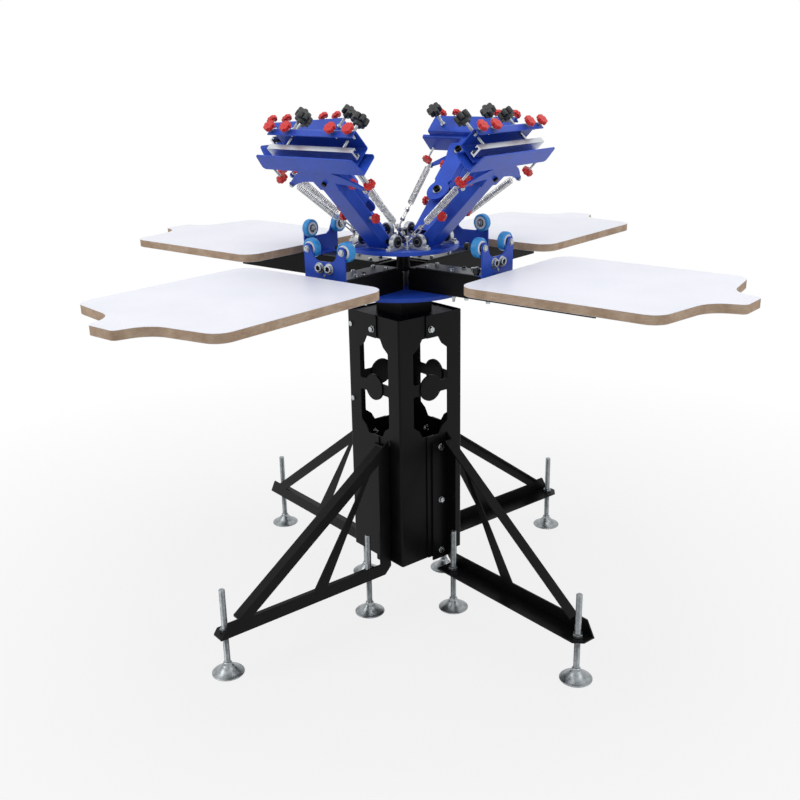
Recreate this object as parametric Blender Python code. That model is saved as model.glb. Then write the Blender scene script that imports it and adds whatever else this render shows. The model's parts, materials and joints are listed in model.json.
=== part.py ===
"""Four colour, four station screen printing press on a floor stand.

A square column of four folded posts stands on four braced legs with eight levelling feet. A shaft on top of
the column carries two carousels that turn freely: the lower one holds four print boards, and the upper one
holds four print arms. Each arm tilts on a shaft in two pillow blocks, is held up by two springs, and ends in a
head that clamps a screen frame. When an arm comes down, its tube runs in between the two rollers of the board
below it, which brings screen and board into register.

Metres, Z up. The origin is on the floor, on the axis of both carousels. Station 1 lies along +X.
"""

import math

import bmesh
import bpy
from mathutils import Matrix, Vector

# General clearances and counts
GAP = 0.0003
OVERRUN = 0.002
WELD = 0.0005
STATIONS = 4
QUARTER_TURN = 360 / STATIONS
STAND_YAW = -11.5

# Stand: column of four folded posts
COLUMN_HALF = 0.100
COLUMN_FOOT_Z = 0.140
COLUMN_TOP_Z = 0.803
POST_SHEET = 0.003
POST_LAP = 0.015
POST_CORNER = 0.009
WINDOW_FOOT_Z = 0.484
WINDOW_HEAD_Z = 0.745
WINDOW_HALF = 0.055
WINDOW_END_HALF = 0.025
WINDOW_SHOULDER_HALF = 0.037
WINDOW_SHOULDER_RISE = 0.020
WINDOW_SHOULDER_END = 0.033
WINDOW_DISC_RADIUS = 0.034
WINDOW_BAR_HALF = 0.015

# Stand: legs
LEG_SHEET = 0.004
LEG_INNER = COLUMN_HALF + POST_SHEET + 2 * GAP
LEG_BASE_Z = 0.110
LEG_BASE_WIDTH = 0.056
LEG_BRACE_WIDTH = 0.028
LEG_REACH = 0.617
LEG_TIP_SLOPE = 0.023
LEG_TIP_REACH = LEG_REACH - LEG_TIP_SLOPE
LEG_TIP_HEIGHT = 0.040
LEG_TIP_Z = LEG_BASE_Z + LEG_TIP_HEIGHT
LEG_TIP_LENGTH = 0.029
LEG_BRACE_FOOT_REACH = LEG_TIP_REACH - LEG_TIP_LENGTH
LEG_BASE_HEIGHT = 0.034
LEG_MAST_WIDTH = 0.038
LEG_BRACE_HEIGHT = 0.033
LEG_BRACE_TOP_Z = 0.484
LEG_STRUT_FOOT_REACH = 0.309
LEG_STRUT_TOP_REACH = 0.165
LEG_STRUT_WIDTH = 0.040
LEG_CORNER = 0.020

# Stand: levelling feet
FOOT_INNER_SETBACK = 0.0534
FOOT_OUTER_SETBACK = 0.027
FOOT_REACHES = (LEG_INNER + FOOT_INNER_SETBACK, LEG_REACH - FOOT_OUTER_SETBACK)
FOOT_ROD_RADIUS = 0.0075
FOOT_ROD_TOP_Z = 0.226
FOOT_PAD_RADIUS = 0.040
FOOT_PAD_RIM = 0.004
FOOT_PAD_SHOULDER_RADIUS = 0.028
FOOT_PAD_SHOULDER_Z = 0.011
FOOT_PAD_NECK_RADIUS = 0.0125
FOOT_PAD_NECK_Z = 0.022
FOOT_NUT_RADIUS = 0.0125
FOOT_NUT_HEIGHT = 0.009
FOOT_HOLE_SLACK = 0.0008

# Stand: pedestal and shaft
PEDESTAL_HALF = 0.050
PEDESTAL_WALL = 0.004
TOP_PLATE = 0.004
SHAFT_RADIUS = 0.0125
SHAFT_TOP_Z = 1.006
SHAFT_BORE_SLACK = 0.0005
SHAFT_COLLAR_RADIUS = 0.021
SHAFT_NUT_RADIUS = 0.019
SHAFT_NUT_HEIGHT = 0.012

# Board carousel
LOWER_DISC_Z = 0.853
LOWER_DISC_RADIUS = 0.160
DISC_SHEET = 0.010
BOARD_ARM_INNER = 0.046
BOARD_ARM_OUTER = 0.560
BOARD_ARM_HALF = 0.035
BOARD_ARM_SHEET = 0.004
BOARD_TOP_Z = 0.938
BOARD_THICKNESS = 0.020
BOARD_INNER = 0.325
BOARD_HALF = 0.2225
BOARD_CORNER = 0.045
BOARD_SHOULDER_LENGTH = 0.4675
BOARD_SHOULDER_CORNER = 0.040
BOARD_NOTCH_LENGTH = 0.494
BOARD_NOTCH_HALF = 0.0595
BOARD_NOTCH_CORNER = 0.065
BOARD_LENGTH = 0.562
BOARD_TAB_HALF = 0.0395
BOARD_TAB_CORNER = 0.014
BOARD_CORNER_STEPS = 3

# Roller brackets and rollers
BRACKET_OUTER = 0.284
BRACKET_SHEET = 0.004
BRACKET_HALF = 0.063
BRACKET_SHOULDER_Z = 0.993
BRACKET_TOP_Z = 1.004
BRACKET_EAR_OUTER = 0.058
BRACKET_EAR_INNER = 0.047
BRACKET_THROAT_TOP_HALF = 0.042
BRACKET_THROAT_HALF = 0.033
BRACKET_THROAT_Z = 0.973
BRACKET_THROAT_FOOT_HALF = 0.022
BRACKET_THROAT_FOOT_Z = 0.966
BRACKET_FOOT_DEPTH = 0.028
BRACKET_FOOT_HALF = 0.034
ROLLER_OFFSET = 0.0535
ROLLER_Z = 0.991
ROLLER_RADIUS = 0.023
ROLLER_WIDTH = 0.019
ROLLER_ROUND = 0.004
ROLLER_SPACER = 0.003
AXLE_RADIUS = 0.004
AXLE_BORE_SLACK = 0.0005
AXLE_HEAD_RADIUS = 0.0075
AXLE_HEAD_HEIGHT = 0.005
AXLE_NUT_HEIGHT = 0.006

# Arm carousel
UPPER_DISC_Z = 0.960
UPPER_DISC_RADIUS = 0.140
PIVOT_REACH = 0.095
PIVOT_Z = 0.989
PIVOT_RADIUS = 0.006
PIVOT_BORE_SLACK = 0.0005
PIVOT_HALF = 0.066
BLOCK_OFFSET = 0.055
BLOCK_WIDTH = 0.013
BLOCK_HALF = 0.029
BLOCK_BASE = 0.007
BLOCK_HOUSING_RADIUS = 0.0165
ANCHOR_OFFSET = 0.0715
ANCHOR_RADIUS = 0.003
ANCHOR_TOP_Z = 1.002
ANCHOR_HEAD_RADIUS = 0.006
ANCHOR_HEAD_HEIGHT = 0.003
ANCHOR_EYE_DROPS = {1: 0.0075, -1: 0.0155}

# Print arm, in its own frame: along the arm from the pivot, across it, and up from its middle plane
ARM_RAISED = 45.0
TUBE_HALF = 0.030
TUBE_HALF_DEPTH = 0.015
TUBE_WALL = 0.003
TUBE_END = 0.255
YOKE_TOP = 0.035
YOKE_SHEET = 0.005
YOKE_ROUND_RADIUS = 0.031
YOKE_NECK_START = 0.126
YOKE_NECK_END = 0.198
YOKE_NECK_HALF = 0.027
YOKE_FLARE = 0.236
YOKE_FLARE_HALF = 0.036
YOKE_END = 0.256
YOKE_CORNER = 0.008
YOKE_CHEEK_SHEET = 0.0035
YOKE_CHEEK_START = 0.118
YOKE_CHEEK_END = 0.247
TILT_BOLT_REACH = 0.102
SWIVEL_REACH = 0.233
SWIVEL_RADIUS = 0.006
SWIVEL_SLACK = 0.0006
CAP_HEAD_RADIUS = 0.0095
CAP_HEAD_HEIGHT = 0.006
HORN_TIP_REACH = 0.219
HORN_TIP_OFFSET = 0.113
HORN_TIP_RADIUS = 0.0075
HORN_BAR_INNER = 0.208
HORN_ROOT_INNER = 0.235
HORN_ROOT_OFFSET = 0.034
HORN_ROOT_WIDTH = 0.039
HORN_WIDTH = 0.013
HORN_SAG = 0.012
HORN_SHEET = 0.004
HORN_PIN_RADIUS = 0.003
HORN_PIN_HEIGHT = 0.014
HORN_EYE_LIFT = 0.0040
GUIDE_KNOBS = ((0.090, 0.000), (0.205, 0.006))
GUIDE_KNOB_GAP = 0.012

# Screen head, in the frame of its arm
HEAD_HALF = 0.150
CARRIER_SHEET = 0.003
CARRIER_BACK = 0.277
CARRIER_FOOT = -0.025
CARRIER_TOP = 0.027
CARRIER_INNER_HALF = 0.156
CARRIER_OUTER_HALF = 0.145
CARRIER_OUTER = 0.325
JAW_BACK = 0.285
JAW_SHEET = 0.003
JAW_FOOT = -0.007
JAW_TOP = 0.043
JAW_LIP = 0.341
JAW_LIP_FOOT = 0.023
JAW_HALF = 0.127
TONGUE_HALF = 0.018
TONGUE_SHEET = 0.005
TONGUE_INNER = 0.216
LIP_KNOB_OFFSETS = (0.067, 0.118)
LIP_KNOB_HEIGHT = 0.036
TAIL_KNOB_OFFSET = 0.134
TAIL_KNOB_HEIGHT = -0.016
TAIL_KNOB_REACH = 0.245

# Knobs and screws
RED_KNOB_RADIUS = 0.0120
RED_KNOB_WAIST = 0.0092
RED_KNOB_DEPTH = 0.013
RED_KNOB_LOBES = 5
RED_SCREW_RADIUS = 0.0030
RED_SCREW_SHOW = 0.005
BLACK_KNOB_RADIUS = 0.0200
BLACK_KNOB_WAIST = 0.0145
BLACK_KNOB_DEPTH = 0.018
BLACK_KNOB_LOBES = 6
BLACK_KNOB_NECK_RADIUS = 0.010
BLACK_KNOB_NECK = 0.007

# Clamp rail, in the frame of its arm
RAIL_REACH = 0.308
RAIL_WIDTH = 0.025
RAIL_DEPTH = 0.013
RAIL_HALF = 0.128
RAIL_REST = 0.0000
RAIL_SLOT_WIDTH = 0.010
RAIL_SLOT_DEPTH = 0.008
RAIL_CHANNEL_WIDTH = 0.018
RAIL_LIP = 0.0025
RAIL_SCREW_OFFSET = 0.085
RAIL_SCREW_RADIUS = 0.004
RAIL_SCREW_SLACK = 0.0004
RAIL_KNOB_FOOT = 0.083

# Lift springs
SPRING_WIRE_RADIUS = 0.00125
SPRING_COIL_RADIUS = 0.00725
SPRING_CURLS = 6
SPRING_CURL_POINTS = 8
SPRING_COIL_START = 0.014
SPRING_COIL_LENGTH = 0.130
SPRING_EYE_RADIUS = 0.0052
SPRING_EYE_POINTS = 5
SPRING_EYE_SWEEP = 290.0

DISC_SIDES = 32
ROUND_SIDES = 10
ROLLER_SIDES = 12
PAD_SIDES = 9
ROD_SIDES = 6
BORE_SIDES = 8

FINISHES = {
    "black_enamel": ((0.010, 0.010, 0.012), 0.42, 0.0),
    "blue_enamel": ((0.022, 0.050, 0.330), 0.38, 0.0),
    "zinc": ((0.62, 0.64, 0.65), 0.32, 1.0),
    "bright_steel": ((0.50, 0.50, 0.50), 0.30, 1.0),
    "laminate": ((0.85, 0.86, 0.88), 0.45, 0.0),
    "aluminium": ((0.75, 0.76, 0.78), 0.35, 1.0),
    "roller_blue": ((0.040, 0.300, 0.560), 0.40, 0.0),
    "spring_steel": ((0.55, 0.55, 0.55), 0.28, 1.0),
}

AXIS_PLACES = {
    "x": lambda across, up, along: (along, across, up),
    "y": lambda across, up, along: (across, along, up),
    "z": lambda across, up, along: (across, up, along),
}


def clear_scene():
    """Start from nothing."""
    for item in list(bpy.data.objects):
        bpy.data.objects.remove(item, do_unlink=True)


def finished_mesh(work):
    """Turn a bmesh into a mesh whose faces point out."""
    bmesh.ops.recalc_face_normals(work, faces=work.faces)
    mesh = bpy.data.meshes.new("shape")
    work.to_mesh(mesh)
    work.free()
    return mesh


def extruded(outline, low, high, along="z"):
    """Prism of a closed outline, from low to high along one axis."""
    place = AXIS_PLACES[along]
    work = bmesh.new()
    floor = work.faces.new([work.verts.new(place(across, up, low)) for across, up in outline])
    grown = bmesh.ops.extrude_face_region(work, geom=[floor])
    moved = [item for item in grown["geom"] if isinstance(item, bmesh.types.BMVert)]
    bmesh.ops.translate(work, verts=moved, vec=place(0, 0, high - low))
    return finished_mesh(work)


def block(low, high):
    """Box between two corners."""
    outline = [(low[0], low[1]), (high[0], low[1]), (high[0], high[1]), (low[0], high[1])]
    return extruded(outline, low[2], high[2])


def turned(profile, sides, along="z", centre=(0, 0, 0), bored=False):
    """Round solid of (radius, height) points; a bored one closes its profile on itself."""
    place = AXIS_PLACES[along]
    work = bmesh.new()
    rings = []
    for radius, height in profile:
        ring = []
        for step in range(sides):
            angle = math.tau * step / sides
            spot = place(radius * math.cos(angle), radius * math.sin(angle), height)
            ring.append(work.verts.new(Vector(centre) + Vector(spot)))
        rings.append(ring)
    pairs = list(zip(rings, rings[1:]))
    if bored:
        pairs.append((rings[-1], rings[0]))
    for lower, upper in pairs:
        for step in range(sides):
            after = (step + 1) % sides
            work.faces.new((lower[step], lower[after], upper[after], upper[step]))
    if not bored:
        work.faces.new(rings[0])
        work.faces.new(rings[-1])
    return finished_mesh(work)


def rod(radius, start, end, sides=ROD_SIDES):
    """Straight round bar between two points."""
    start, end = Vector(start), Vector(end)
    mesh = turned([(radius, 0), (radius, (end - start).length)], sides)
    turn = (end - start).to_track_quat("Z", "Y").to_matrix().to_4x4()
    mesh.transform(Matrix.Translation(start) @ turn)
    return mesh


def arc(centre, radius, start, end, steps):
    """Points along an arc, both ends included, angles in degrees."""
    points = []
    for step in range(steps + 1):
        angle = math.radians(start + (end - start) * step / steps)
        points.append((centre[0] + radius * math.cos(angle), centre[1] + radius * math.sin(angle)))
    return points


def corner_arc(before, corner, after, radius, steps):
    """Points that round one corner of an outline, whichever way it turns."""
    corner = Vector(corner)
    back = (Vector(before) - corner).normalized()
    onward = (Vector(after) - corner).normalized()
    turn = math.pi - back.angle(onward)
    middle = corner + (back + onward).normalized() * radius / math.cos(turn / 2)
    spoke = corner + back * radius * math.tan(turn / 2) - middle
    start = math.degrees(math.atan2(spoke.y, spoke.x))
    sweep = math.copysign(math.degrees(turn), onward.cross(back))
    return arc(middle, radius, start, start + sweep, steps)


def mirrored(outline):
    """Half an outline at positive second coordinate, followed by its mirror image."""
    return outline + [(along, -across) for along, across in reversed(outline)]


def lobed(radius, waist, lobes):
    """Outline of a hand knob with broad lobes and narrow waists."""
    points = []
    for step in range(2 * lobes):
        angle = math.pi * step / lobes
        reach = radius if step % 2 == 0 else waist
        points.append((reach * math.cos(angle), reach * math.sin(angle)))
    return points


def placed(mesh, matrix):
    """Move a mesh and hand it back."""
    mesh.transform(matrix)
    return mesh


def fused(base, joins=(), cuts=()):
    """One closed solid: the base with all joins, less all cuts."""
    scene = bpy.context.scene.collection
    body = bpy.data.objects.new("blank", base)
    scene.objects.link(body)
    groups = []
    helpers = [body]
    for operation, meshes in (("UNION", joins), ("DIFFERENCE", cuts)):
        if not meshes:
            continue
        group = bpy.data.collections.new(operation)
        scene.children.link(group)
        groups.append(group)
        for mesh in meshes:
            helper = bpy.data.objects.new("helper", mesh)
            group.objects.link(helper)
            helpers.append(helper)
        boolean = body.modifiers.new(operation, "BOOLEAN")
        boolean.operation = operation
        boolean.operand_type = "COLLECTION"
        boolean.collection = group
        boolean.solver = "EXACT"
    graph = bpy.context.evaluated_depsgraph_get()
    result = bpy.data.meshes.new_from_object(body.evaluated_get(graph))
    for helper in helpers:
        bpy.data.objects.remove(helper, do_unlink=True)
    for group in groups:
        bpy.data.collections.remove(group)
    return tidied(result)


def tidied(mesh):
    """Dissolve the needless edges that a Boolean leaves in flat faces."""
    work = bmesh.new()
    work.from_mesh(mesh)
    flat = math.radians(0.05)
    bmesh.ops.dissolve_limit(work, angle_limit=flat, verts=work.verts, edges=work.edges)
    bmesh.ops.triangulate(work, faces=work.faces)
    work.to_mesh(mesh)
    work.free()
    return mesh


def finish(item, finish_name):
    """Give an object its own material."""
    colour, roughness, metallic = FINISHES[finish_name]
    material = bpy.data.materials.new(item.name)
    material.use_nodes = True
    shader = material.node_tree.nodes["Principled BSDF"]
    shader.inputs["Base Color"].default_value = (*colour, 1)
    shader.inputs["Roughness"].default_value = roughness
    shader.inputs["Metallic"].default_value = metallic
    if not item.data.materials:
        item.data.materials.append(None)
    item.material_slots[0].link = "OBJECT"
    item.material_slots[0].material = material


def piece(name, mesh, finish_name, parent, matrix=None):
    """Add a named piece under a parent, with crisp edges between its smooth faces."""
    crease = math.radians(35)
    if isinstance(mesh, bpy.types.Mesh):
        mesh.shade_smooth()
        mesh.set_sharp_from_angle(angle=crease)
    item = bpy.data.objects.new(name, mesh)
    bpy.context.scene.collection.objects.link(item)
    item.parent = parent
    item.matrix_local = matrix or Matrix.Identity(4)
    finish(item, finish_name)
    return item


def frame(name, parent, matrix):
    """Empty that carries a group of pieces; a moving group has it on its axis."""
    item = bpy.data.objects.new(name, None)
    bpy.context.scene.collection.objects.link(item)
    item.parent = parent
    item.matrix_local = matrix
    return item


def about_z(degrees):
    return Matrix.Rotation(math.radians(degrees), 4, "Z")


# Column posts


def window_outline_side():
    """One side of a window end: how far from the middle, and how far in from the end of the window."""
    return [
        (WINDOW_END_HALF, 0),
        (WINDOW_SHOULDER_HALF, WINDOW_SHOULDER_RISE),
        (WINDOW_HALF, WINDOW_SHOULDER_END),
    ]


def post_face_outline():
    """Folded face of a post: across from the middle of the face, and up."""
    middle = (WINDOW_FOOT_Z + WINDOW_HEAD_Z) / 2
    half_angle = math.degrees(math.asin(WINDOW_BAR_HALF / WINDOW_DISC_RADIUS))
    outline = [(COLUMN_HALF, COLUMN_FOOT_Z), (-POST_LAP, COLUMN_FOOT_Z), (-POST_LAP, WINDOW_FOOT_Z)]
    outline += [(across, WINDOW_FOOT_Z + rise) for across, rise in window_outline_side()]
    outline.append((WINDOW_HALF, middle - WINDOW_BAR_HALF))
    outline += arc((0, middle), WINDOW_DISC_RADIUS, -half_angle, half_angle - 360, 7)
    outline.append((WINDOW_HALF, middle + WINDOW_BAR_HALF))
    outline += [(across, WINDOW_HEAD_Z - rise) for across, rise in reversed(window_outline_side())]
    outline.append((-POST_LAP, WINDOW_HEAD_Z))
    outline += arc((-POST_LAP + POST_CORNER, COLUMN_TOP_Z - POST_CORNER), POST_CORNER, 180, 90, 2)
    outline.append((COLUMN_HALF, COLUMN_TOP_Z))
    return outline


def grown_outline(outline, growth):
    """Outline whose corner edge moves out, for the posts that lie outside their neighbours."""
    return [(across + growth if across == COLUMN_HALF else across, up) for across, up in outline]


def column_post(growth):
    """Two folded faces that meet at the corner towards +X and +Y."""
    outer = COLUMN_HALF + growth
    outline = grown_outline(post_face_outline(), growth)
    short = [(across - POST_SHEET / 2 if across == outer else across, up) for across, up in outline]
    face_x = extruded(outline, outer - POST_SHEET, outer, "x")
    face_y = extruded(short, outer - POST_SHEET, outer, "y")
    return fused(face_x, [face_y])


def make_column(stand):
    lap_growth = POST_SHEET + GAP
    meshes = [column_post(lap_growth), column_post(0)]
    for index in range(STATIONS):
        turn = about_z(QUARTER_TURN * index)
        piece(f"column_post_{index + 1}", meshes[index % 2], "black_enamel", stand, turn)


# Legs


def leg_web_outline():
    """Side plate of a leg: reach from the axis, and up."""
    return [
        (LEG_INNER, LEG_BASE_Z + LEG_CORNER),
        (LEG_INNER + LEG_CORNER, LEG_BASE_Z),
        (LEG_REACH, LEG_BASE_Z),
        (LEG_TIP_REACH, LEG_TIP_Z),
        (LEG_BRACE_FOOT_REACH, LEG_TIP_Z),
        (LEG_INNER, LEG_BRACE_TOP_Z),
    ]


def brace_height(reach):
    """Height of the top edge of the sloping brace at a reach."""
    share = (reach - LEG_INNER) / (LEG_BRACE_FOOT_REACH - LEG_INNER)
    return LEG_BRACE_TOP_Z + (LEG_TIP_Z - LEG_BRACE_TOP_Z) * share


def brace_reach(height):
    """Reach of the top edge of the sloping brace at a height."""
    share = (LEG_BRACE_TOP_Z - height) / (LEG_BRACE_TOP_Z - LEG_TIP_Z)
    return LEG_INNER + (LEG_BRACE_FOOT_REACH - LEG_INNER) * share


def leg_windows():
    """The two openings that leave base, mast, brace and strut."""
    floor = LEG_BASE_Z + LEG_BASE_HEIGHT
    mast = COLUMN_HALF + LEG_MAST_WIDTH
    drop = LEG_BRACE_HEIGHT
    inner_top = brace_height(LEG_STRUT_TOP_REACH) - drop
    outer_top_reach = LEG_STRUT_TOP_REACH + LEG_STRUT_WIDTH / 2
    outer_top = brace_height(outer_top_reach) - drop
    inner_window = [
        (mast, floor),
        (LEG_STRUT_FOOT_REACH, floor),
        (LEG_STRUT_TOP_REACH, inner_top),
        (mast, brace_height(mast) - drop),
    ]
    outer_window = [
        (LEG_STRUT_FOOT_REACH + LEG_STRUT_WIDTH, floor),
        (brace_reach(floor + drop), floor),
        (outer_top_reach, outer_top),
    ]
    return inner_window, outer_window


def leg():
    """Folded side plate with a sole, a mast flange and a brace flange, all on its right-hand side."""
    web_far = LEG_BASE_WIDTH
    web_near = web_far - LEG_SHEET
    web = extruded(leg_web_outline(), web_near, web_far, "y")
    cuts = [extruded(window, web_near - OVERRUN, web_far + OVERRUN, "y") for window in leg_windows()]
    web = fused(web, cuts=cuts)
    fold = web_near + LEG_SHEET / 2
    sole_ends = (LEG_INNER + LEG_CORNER, LEG_REACH)
    sole = extruded(
        [
            (sole_ends[0], fold),
            (sole_ends[0], 0),
            (sole_ends[1] - LEG_CORNER, 0),
            (sole_ends[1] - WELD, LEG_CORNER),
            (sole_ends[1] - WELD, fold),
        ],
        LEG_BASE_Z,
        LEG_BASE_Z + LEG_SHEET,
    )
    mast_top = LEG_BRACE_TOP_Z - LEG_CORNER
    mast = block((LEG_INNER, 0, LEG_BASE_Z + LEG_CORNER), (LEG_INNER + LEG_SHEET, fold, mast_top))
    slope = (LEG_BRACE_TOP_Z - LEG_TIP_Z) / (LEG_BRACE_FOOT_REACH - LEG_INNER)
    sheet_drop = LEG_SHEET * math.hypot(1, slope)
    brace_start = LEG_INNER + LEG_CORNER
    brace_end = LEG_BRACE_FOOT_REACH
    brace = extruded(
        [
            (brace_start, brace_height(brace_start)),
            (brace_end, brace_height(brace_end)),
            (brace_end, brace_height(brace_end) - sheet_drop),
            (brace_start, brace_height(brace_start) - sheet_drop),
        ],
        web_far - LEG_BRACE_WIDTH,
        fold,
        "y",
    )
    bolt_side = LEG_BASE_WIDTH / 2
    hole = (FOOT_ROD_RADIUS + FOOT_HOLE_SLACK) / math.cos(math.pi / ROD_SIDES)
    top = LEG_BASE_Z + LEG_SHEET + OVERRUN
    holes = [
        rod(hole, (reach, bolt_side, LEG_BASE_Z - OVERRUN), (reach, bolt_side, top)) for reach in FOOT_REACHES
    ]
    sole = fused(sole, cuts=holes)
    return fused(web, [sole, mast, brace])


def levelling_foot():
    """Threaded rod on a domed pad, with a nut on each side of the sole that it carries."""
    sole_low, sole_high = LEG_BASE_Z - GAP, LEG_BASE_Z + LEG_SHEET + GAP
    pad = turned(
        [
            (FOOT_PAD_RADIUS, 0),
            (FOOT_PAD_RADIUS, FOOT_PAD_RIM),
            (FOOT_PAD_SHOULDER_RADIUS, FOOT_PAD_SHOULDER_Z),
            (FOOT_PAD_NECK_RADIUS, FOOT_PAD_NECK_Z),
        ],
        PAD_SIDES,
    )
    stem = rod(FOOT_ROD_RADIUS, (0, 0, FOOT_PAD_SHOULDER_Z), (0, 0, FOOT_ROD_TOP_Z))
    nuts = [
        rod(FOOT_NUT_RADIUS, (0, 0, sole_low - FOOT_NUT_HEIGHT), (0, 0, sole_low)),
        rod(FOOT_NUT_RADIUS, (0, 0, sole_high), (0, 0, sole_high + FOOT_NUT_HEIGHT)),
    ]
    return fused(pad, [stem, *nuts])


def make_legs(stand):
    leg_mesh = leg()
    foot_mesh = levelling_foot()
    number = 0
    for index in range(STATIONS):
        turn = about_z(QUARTER_TURN * index)
        piece(f"leg_{index + 1}", leg_mesh, "black_enamel", stand, turn)
        for reach in FOOT_REACHES:
            number += 1
            spot = turn @ Matrix.Translation((reach, LEG_BASE_WIDTH / 2, 0))
            piece(f"levelling_foot_{number}", foot_mesh, "zinc", stand, spot)


# Pedestal and shaft


def pedestal():
    """Top plate of the column with the square box that the board carousel turns on."""
    plate_half = COLUMN_HALF - POST_SHEET - GAP
    plate_top = COLUMN_TOP_Z - TOP_PLATE
    plate = block((-plate_half, -plate_half, plate_top - TOP_PLATE), (plate_half, plate_half, plate_top))
    top = LOWER_DISC_Z - GAP
    box = block((-PEDESTAL_HALF, -PEDESTAL_HALF, plate_top - WELD), (PEDESTAL_HALF, PEDESTAL_HALF, top))
    hollow_half = PEDESTAL_HALF - PEDESTAL_WALL
    hollow = block(
        (-hollow_half, -hollow_half, plate_top - TOP_PLATE - OVERRUN),
        (hollow_half, hollow_half, top - PEDESTAL_WALL),
    )
    bore = SHAFT_RADIUS + GAP
    hole = rod(bore, (0, 0, plate_top), (0, 0, top + OVERRUN), ROUND_SIDES)
    return fused(plate, [box], [hollow, hole])


def shaft_bore(slack):
    """Bore radius whose flats stay clear of the shaft by the slack."""
    return (SHAFT_RADIUS + slack) / math.cos(math.pi / DISC_SIDES)


def main_shaft():
    """Fixed spindle with a flange under the pedestal roof, a bearing collar below the upper disc and a nut."""
    roof = LOWER_DISC_Z - GAP - PEDESTAL_WALL - GAP
    flange_radius = PEDESTAL_HALF - PEDESTAL_WALL - GAP
    collar_top = UPPER_DISC_Z - GAP
    nut_foot = UPPER_DISC_Z + DISC_SHEET + GAP
    profile = [
        (flange_radius, roof - TOP_PLATE),
        (flange_radius, roof),
        (SHAFT_RADIUS, roof),
        (SHAFT_RADIUS, collar_top - 2 * SHAFT_NUT_HEIGHT),
        (SHAFT_NUT_RADIUS, collar_top - 2 * SHAFT_NUT_HEIGHT),
        (SHAFT_NUT_RADIUS, collar_top - SHAFT_NUT_HEIGHT),
        (SHAFT_COLLAR_RADIUS, collar_top - SHAFT_NUT_HEIGHT),
        (SHAFT_COLLAR_RADIUS, collar_top),
        (SHAFT_RADIUS, collar_top),
        (SHAFT_RADIUS, nut_foot),
        (SHAFT_NUT_RADIUS, nut_foot),
        (SHAFT_NUT_RADIUS, nut_foot + SHAFT_NUT_HEIGHT),
        (SHAFT_RADIUS, nut_foot + SHAFT_NUT_HEIGHT),
        (SHAFT_RADIUS, SHAFT_TOP_Z),
    ]
    return turned(profile, ROUND_SIDES)


# Board carousel


def disc(radius, foot_z):
    """Flat disc with a bore that runs on the shaft."""
    bore = shaft_bore(SHAFT_BORE_SLACK)
    top = foot_z + DISC_SHEET
    profile = [(bore, foot_z), (radius, foot_z), (radius, top), (bore, top)]
    return turned(profile, DISC_SIDES, bored=True)


def board_arm():
    """Channel, open below, from the lower disc out under the board."""
    foot = LOWER_DISC_Z + DISC_SHEET + GAP
    top = BOARD_TOP_Z - BOARD_THICKNESS - GAP
    half = BOARD_ARM_HALF
    inside = half - BOARD_ARM_SHEET
    section = [
        (-half, foot),
        (-half, top),
        (half, top),
        (half, foot),
        (inside, foot),
        (inside, top - BOARD_ARM_SHEET),
        (-inside, top - BOARD_ARM_SHEET),
        (-inside, foot),
    ]
    return extruded(section, BOARD_ARM_INNER, BOARD_ARM_OUTER, "x")


def board_outline():
    """Print board: straight sides, rounded shoulders, and a hollow sweep on each side of one central tab."""
    inner_middle = (BOARD_INNER, 0)
    inner_corner = (BOARD_INNER, BOARD_HALF)
    shoulder = (BOARD_INNER + BOARD_SHOULDER_LENGTH, BOARD_HALF)
    notch = (BOARD_INNER + BOARD_NOTCH_LENGTH, BOARD_NOTCH_HALF)
    tab_corner = (BOARD_INNER + BOARD_LENGTH, BOARD_TAB_HALF)
    tab_middle = (BOARD_INNER + BOARD_LENGTH, 0)
    steps = BOARD_CORNER_STEPS
    half = corner_arc(inner_middle, inner_corner, shoulder, BOARD_CORNER, steps)
    half += corner_arc(inner_corner, shoulder, notch, BOARD_SHOULDER_CORNER, steps)
    half += corner_arc(shoulder, notch, tab_corner, BOARD_NOTCH_CORNER, steps)
    half += corner_arc(notch, tab_corner, tab_middle, BOARD_TAB_CORNER, steps)
    return mirrored(half)


def print_board():
    return extruded(board_outline(), BOARD_TOP_Z - BOARD_THICKNESS, BOARD_TOP_Z)


def bracket_outline():
    """Roller bracket seen along its arm: half-widths and heights."""
    foot = BOARD_TOP_Z - BOARD_THICKNESS
    half = [
        (BRACKET_HALF, foot),
        (BRACKET_HALF, BRACKET_SHOULDER_Z),
        (BRACKET_EAR_OUTER, BRACKET_TOP_Z),
        (BRACKET_EAR_INNER, BRACKET_TOP_Z),
        (BRACKET_THROAT_TOP_HALF, BRACKET_SHOULDER_Z),
        (BRACKET_THROAT_HALF, BRACKET_THROAT_Z),
        (BRACKET_THROAT_FOOT_HALF, BRACKET_THROAT_FOOT_Z),
    ]
    return half + [(-across, up) for across, up in reversed(half)]


def roller_centre():
    """Reach of the middle of a roller."""
    return BRACKET_OUTER - BRACKET_SHEET - ROLLER_SPACER - GAP - ROLLER_WIDTH / 2


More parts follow.
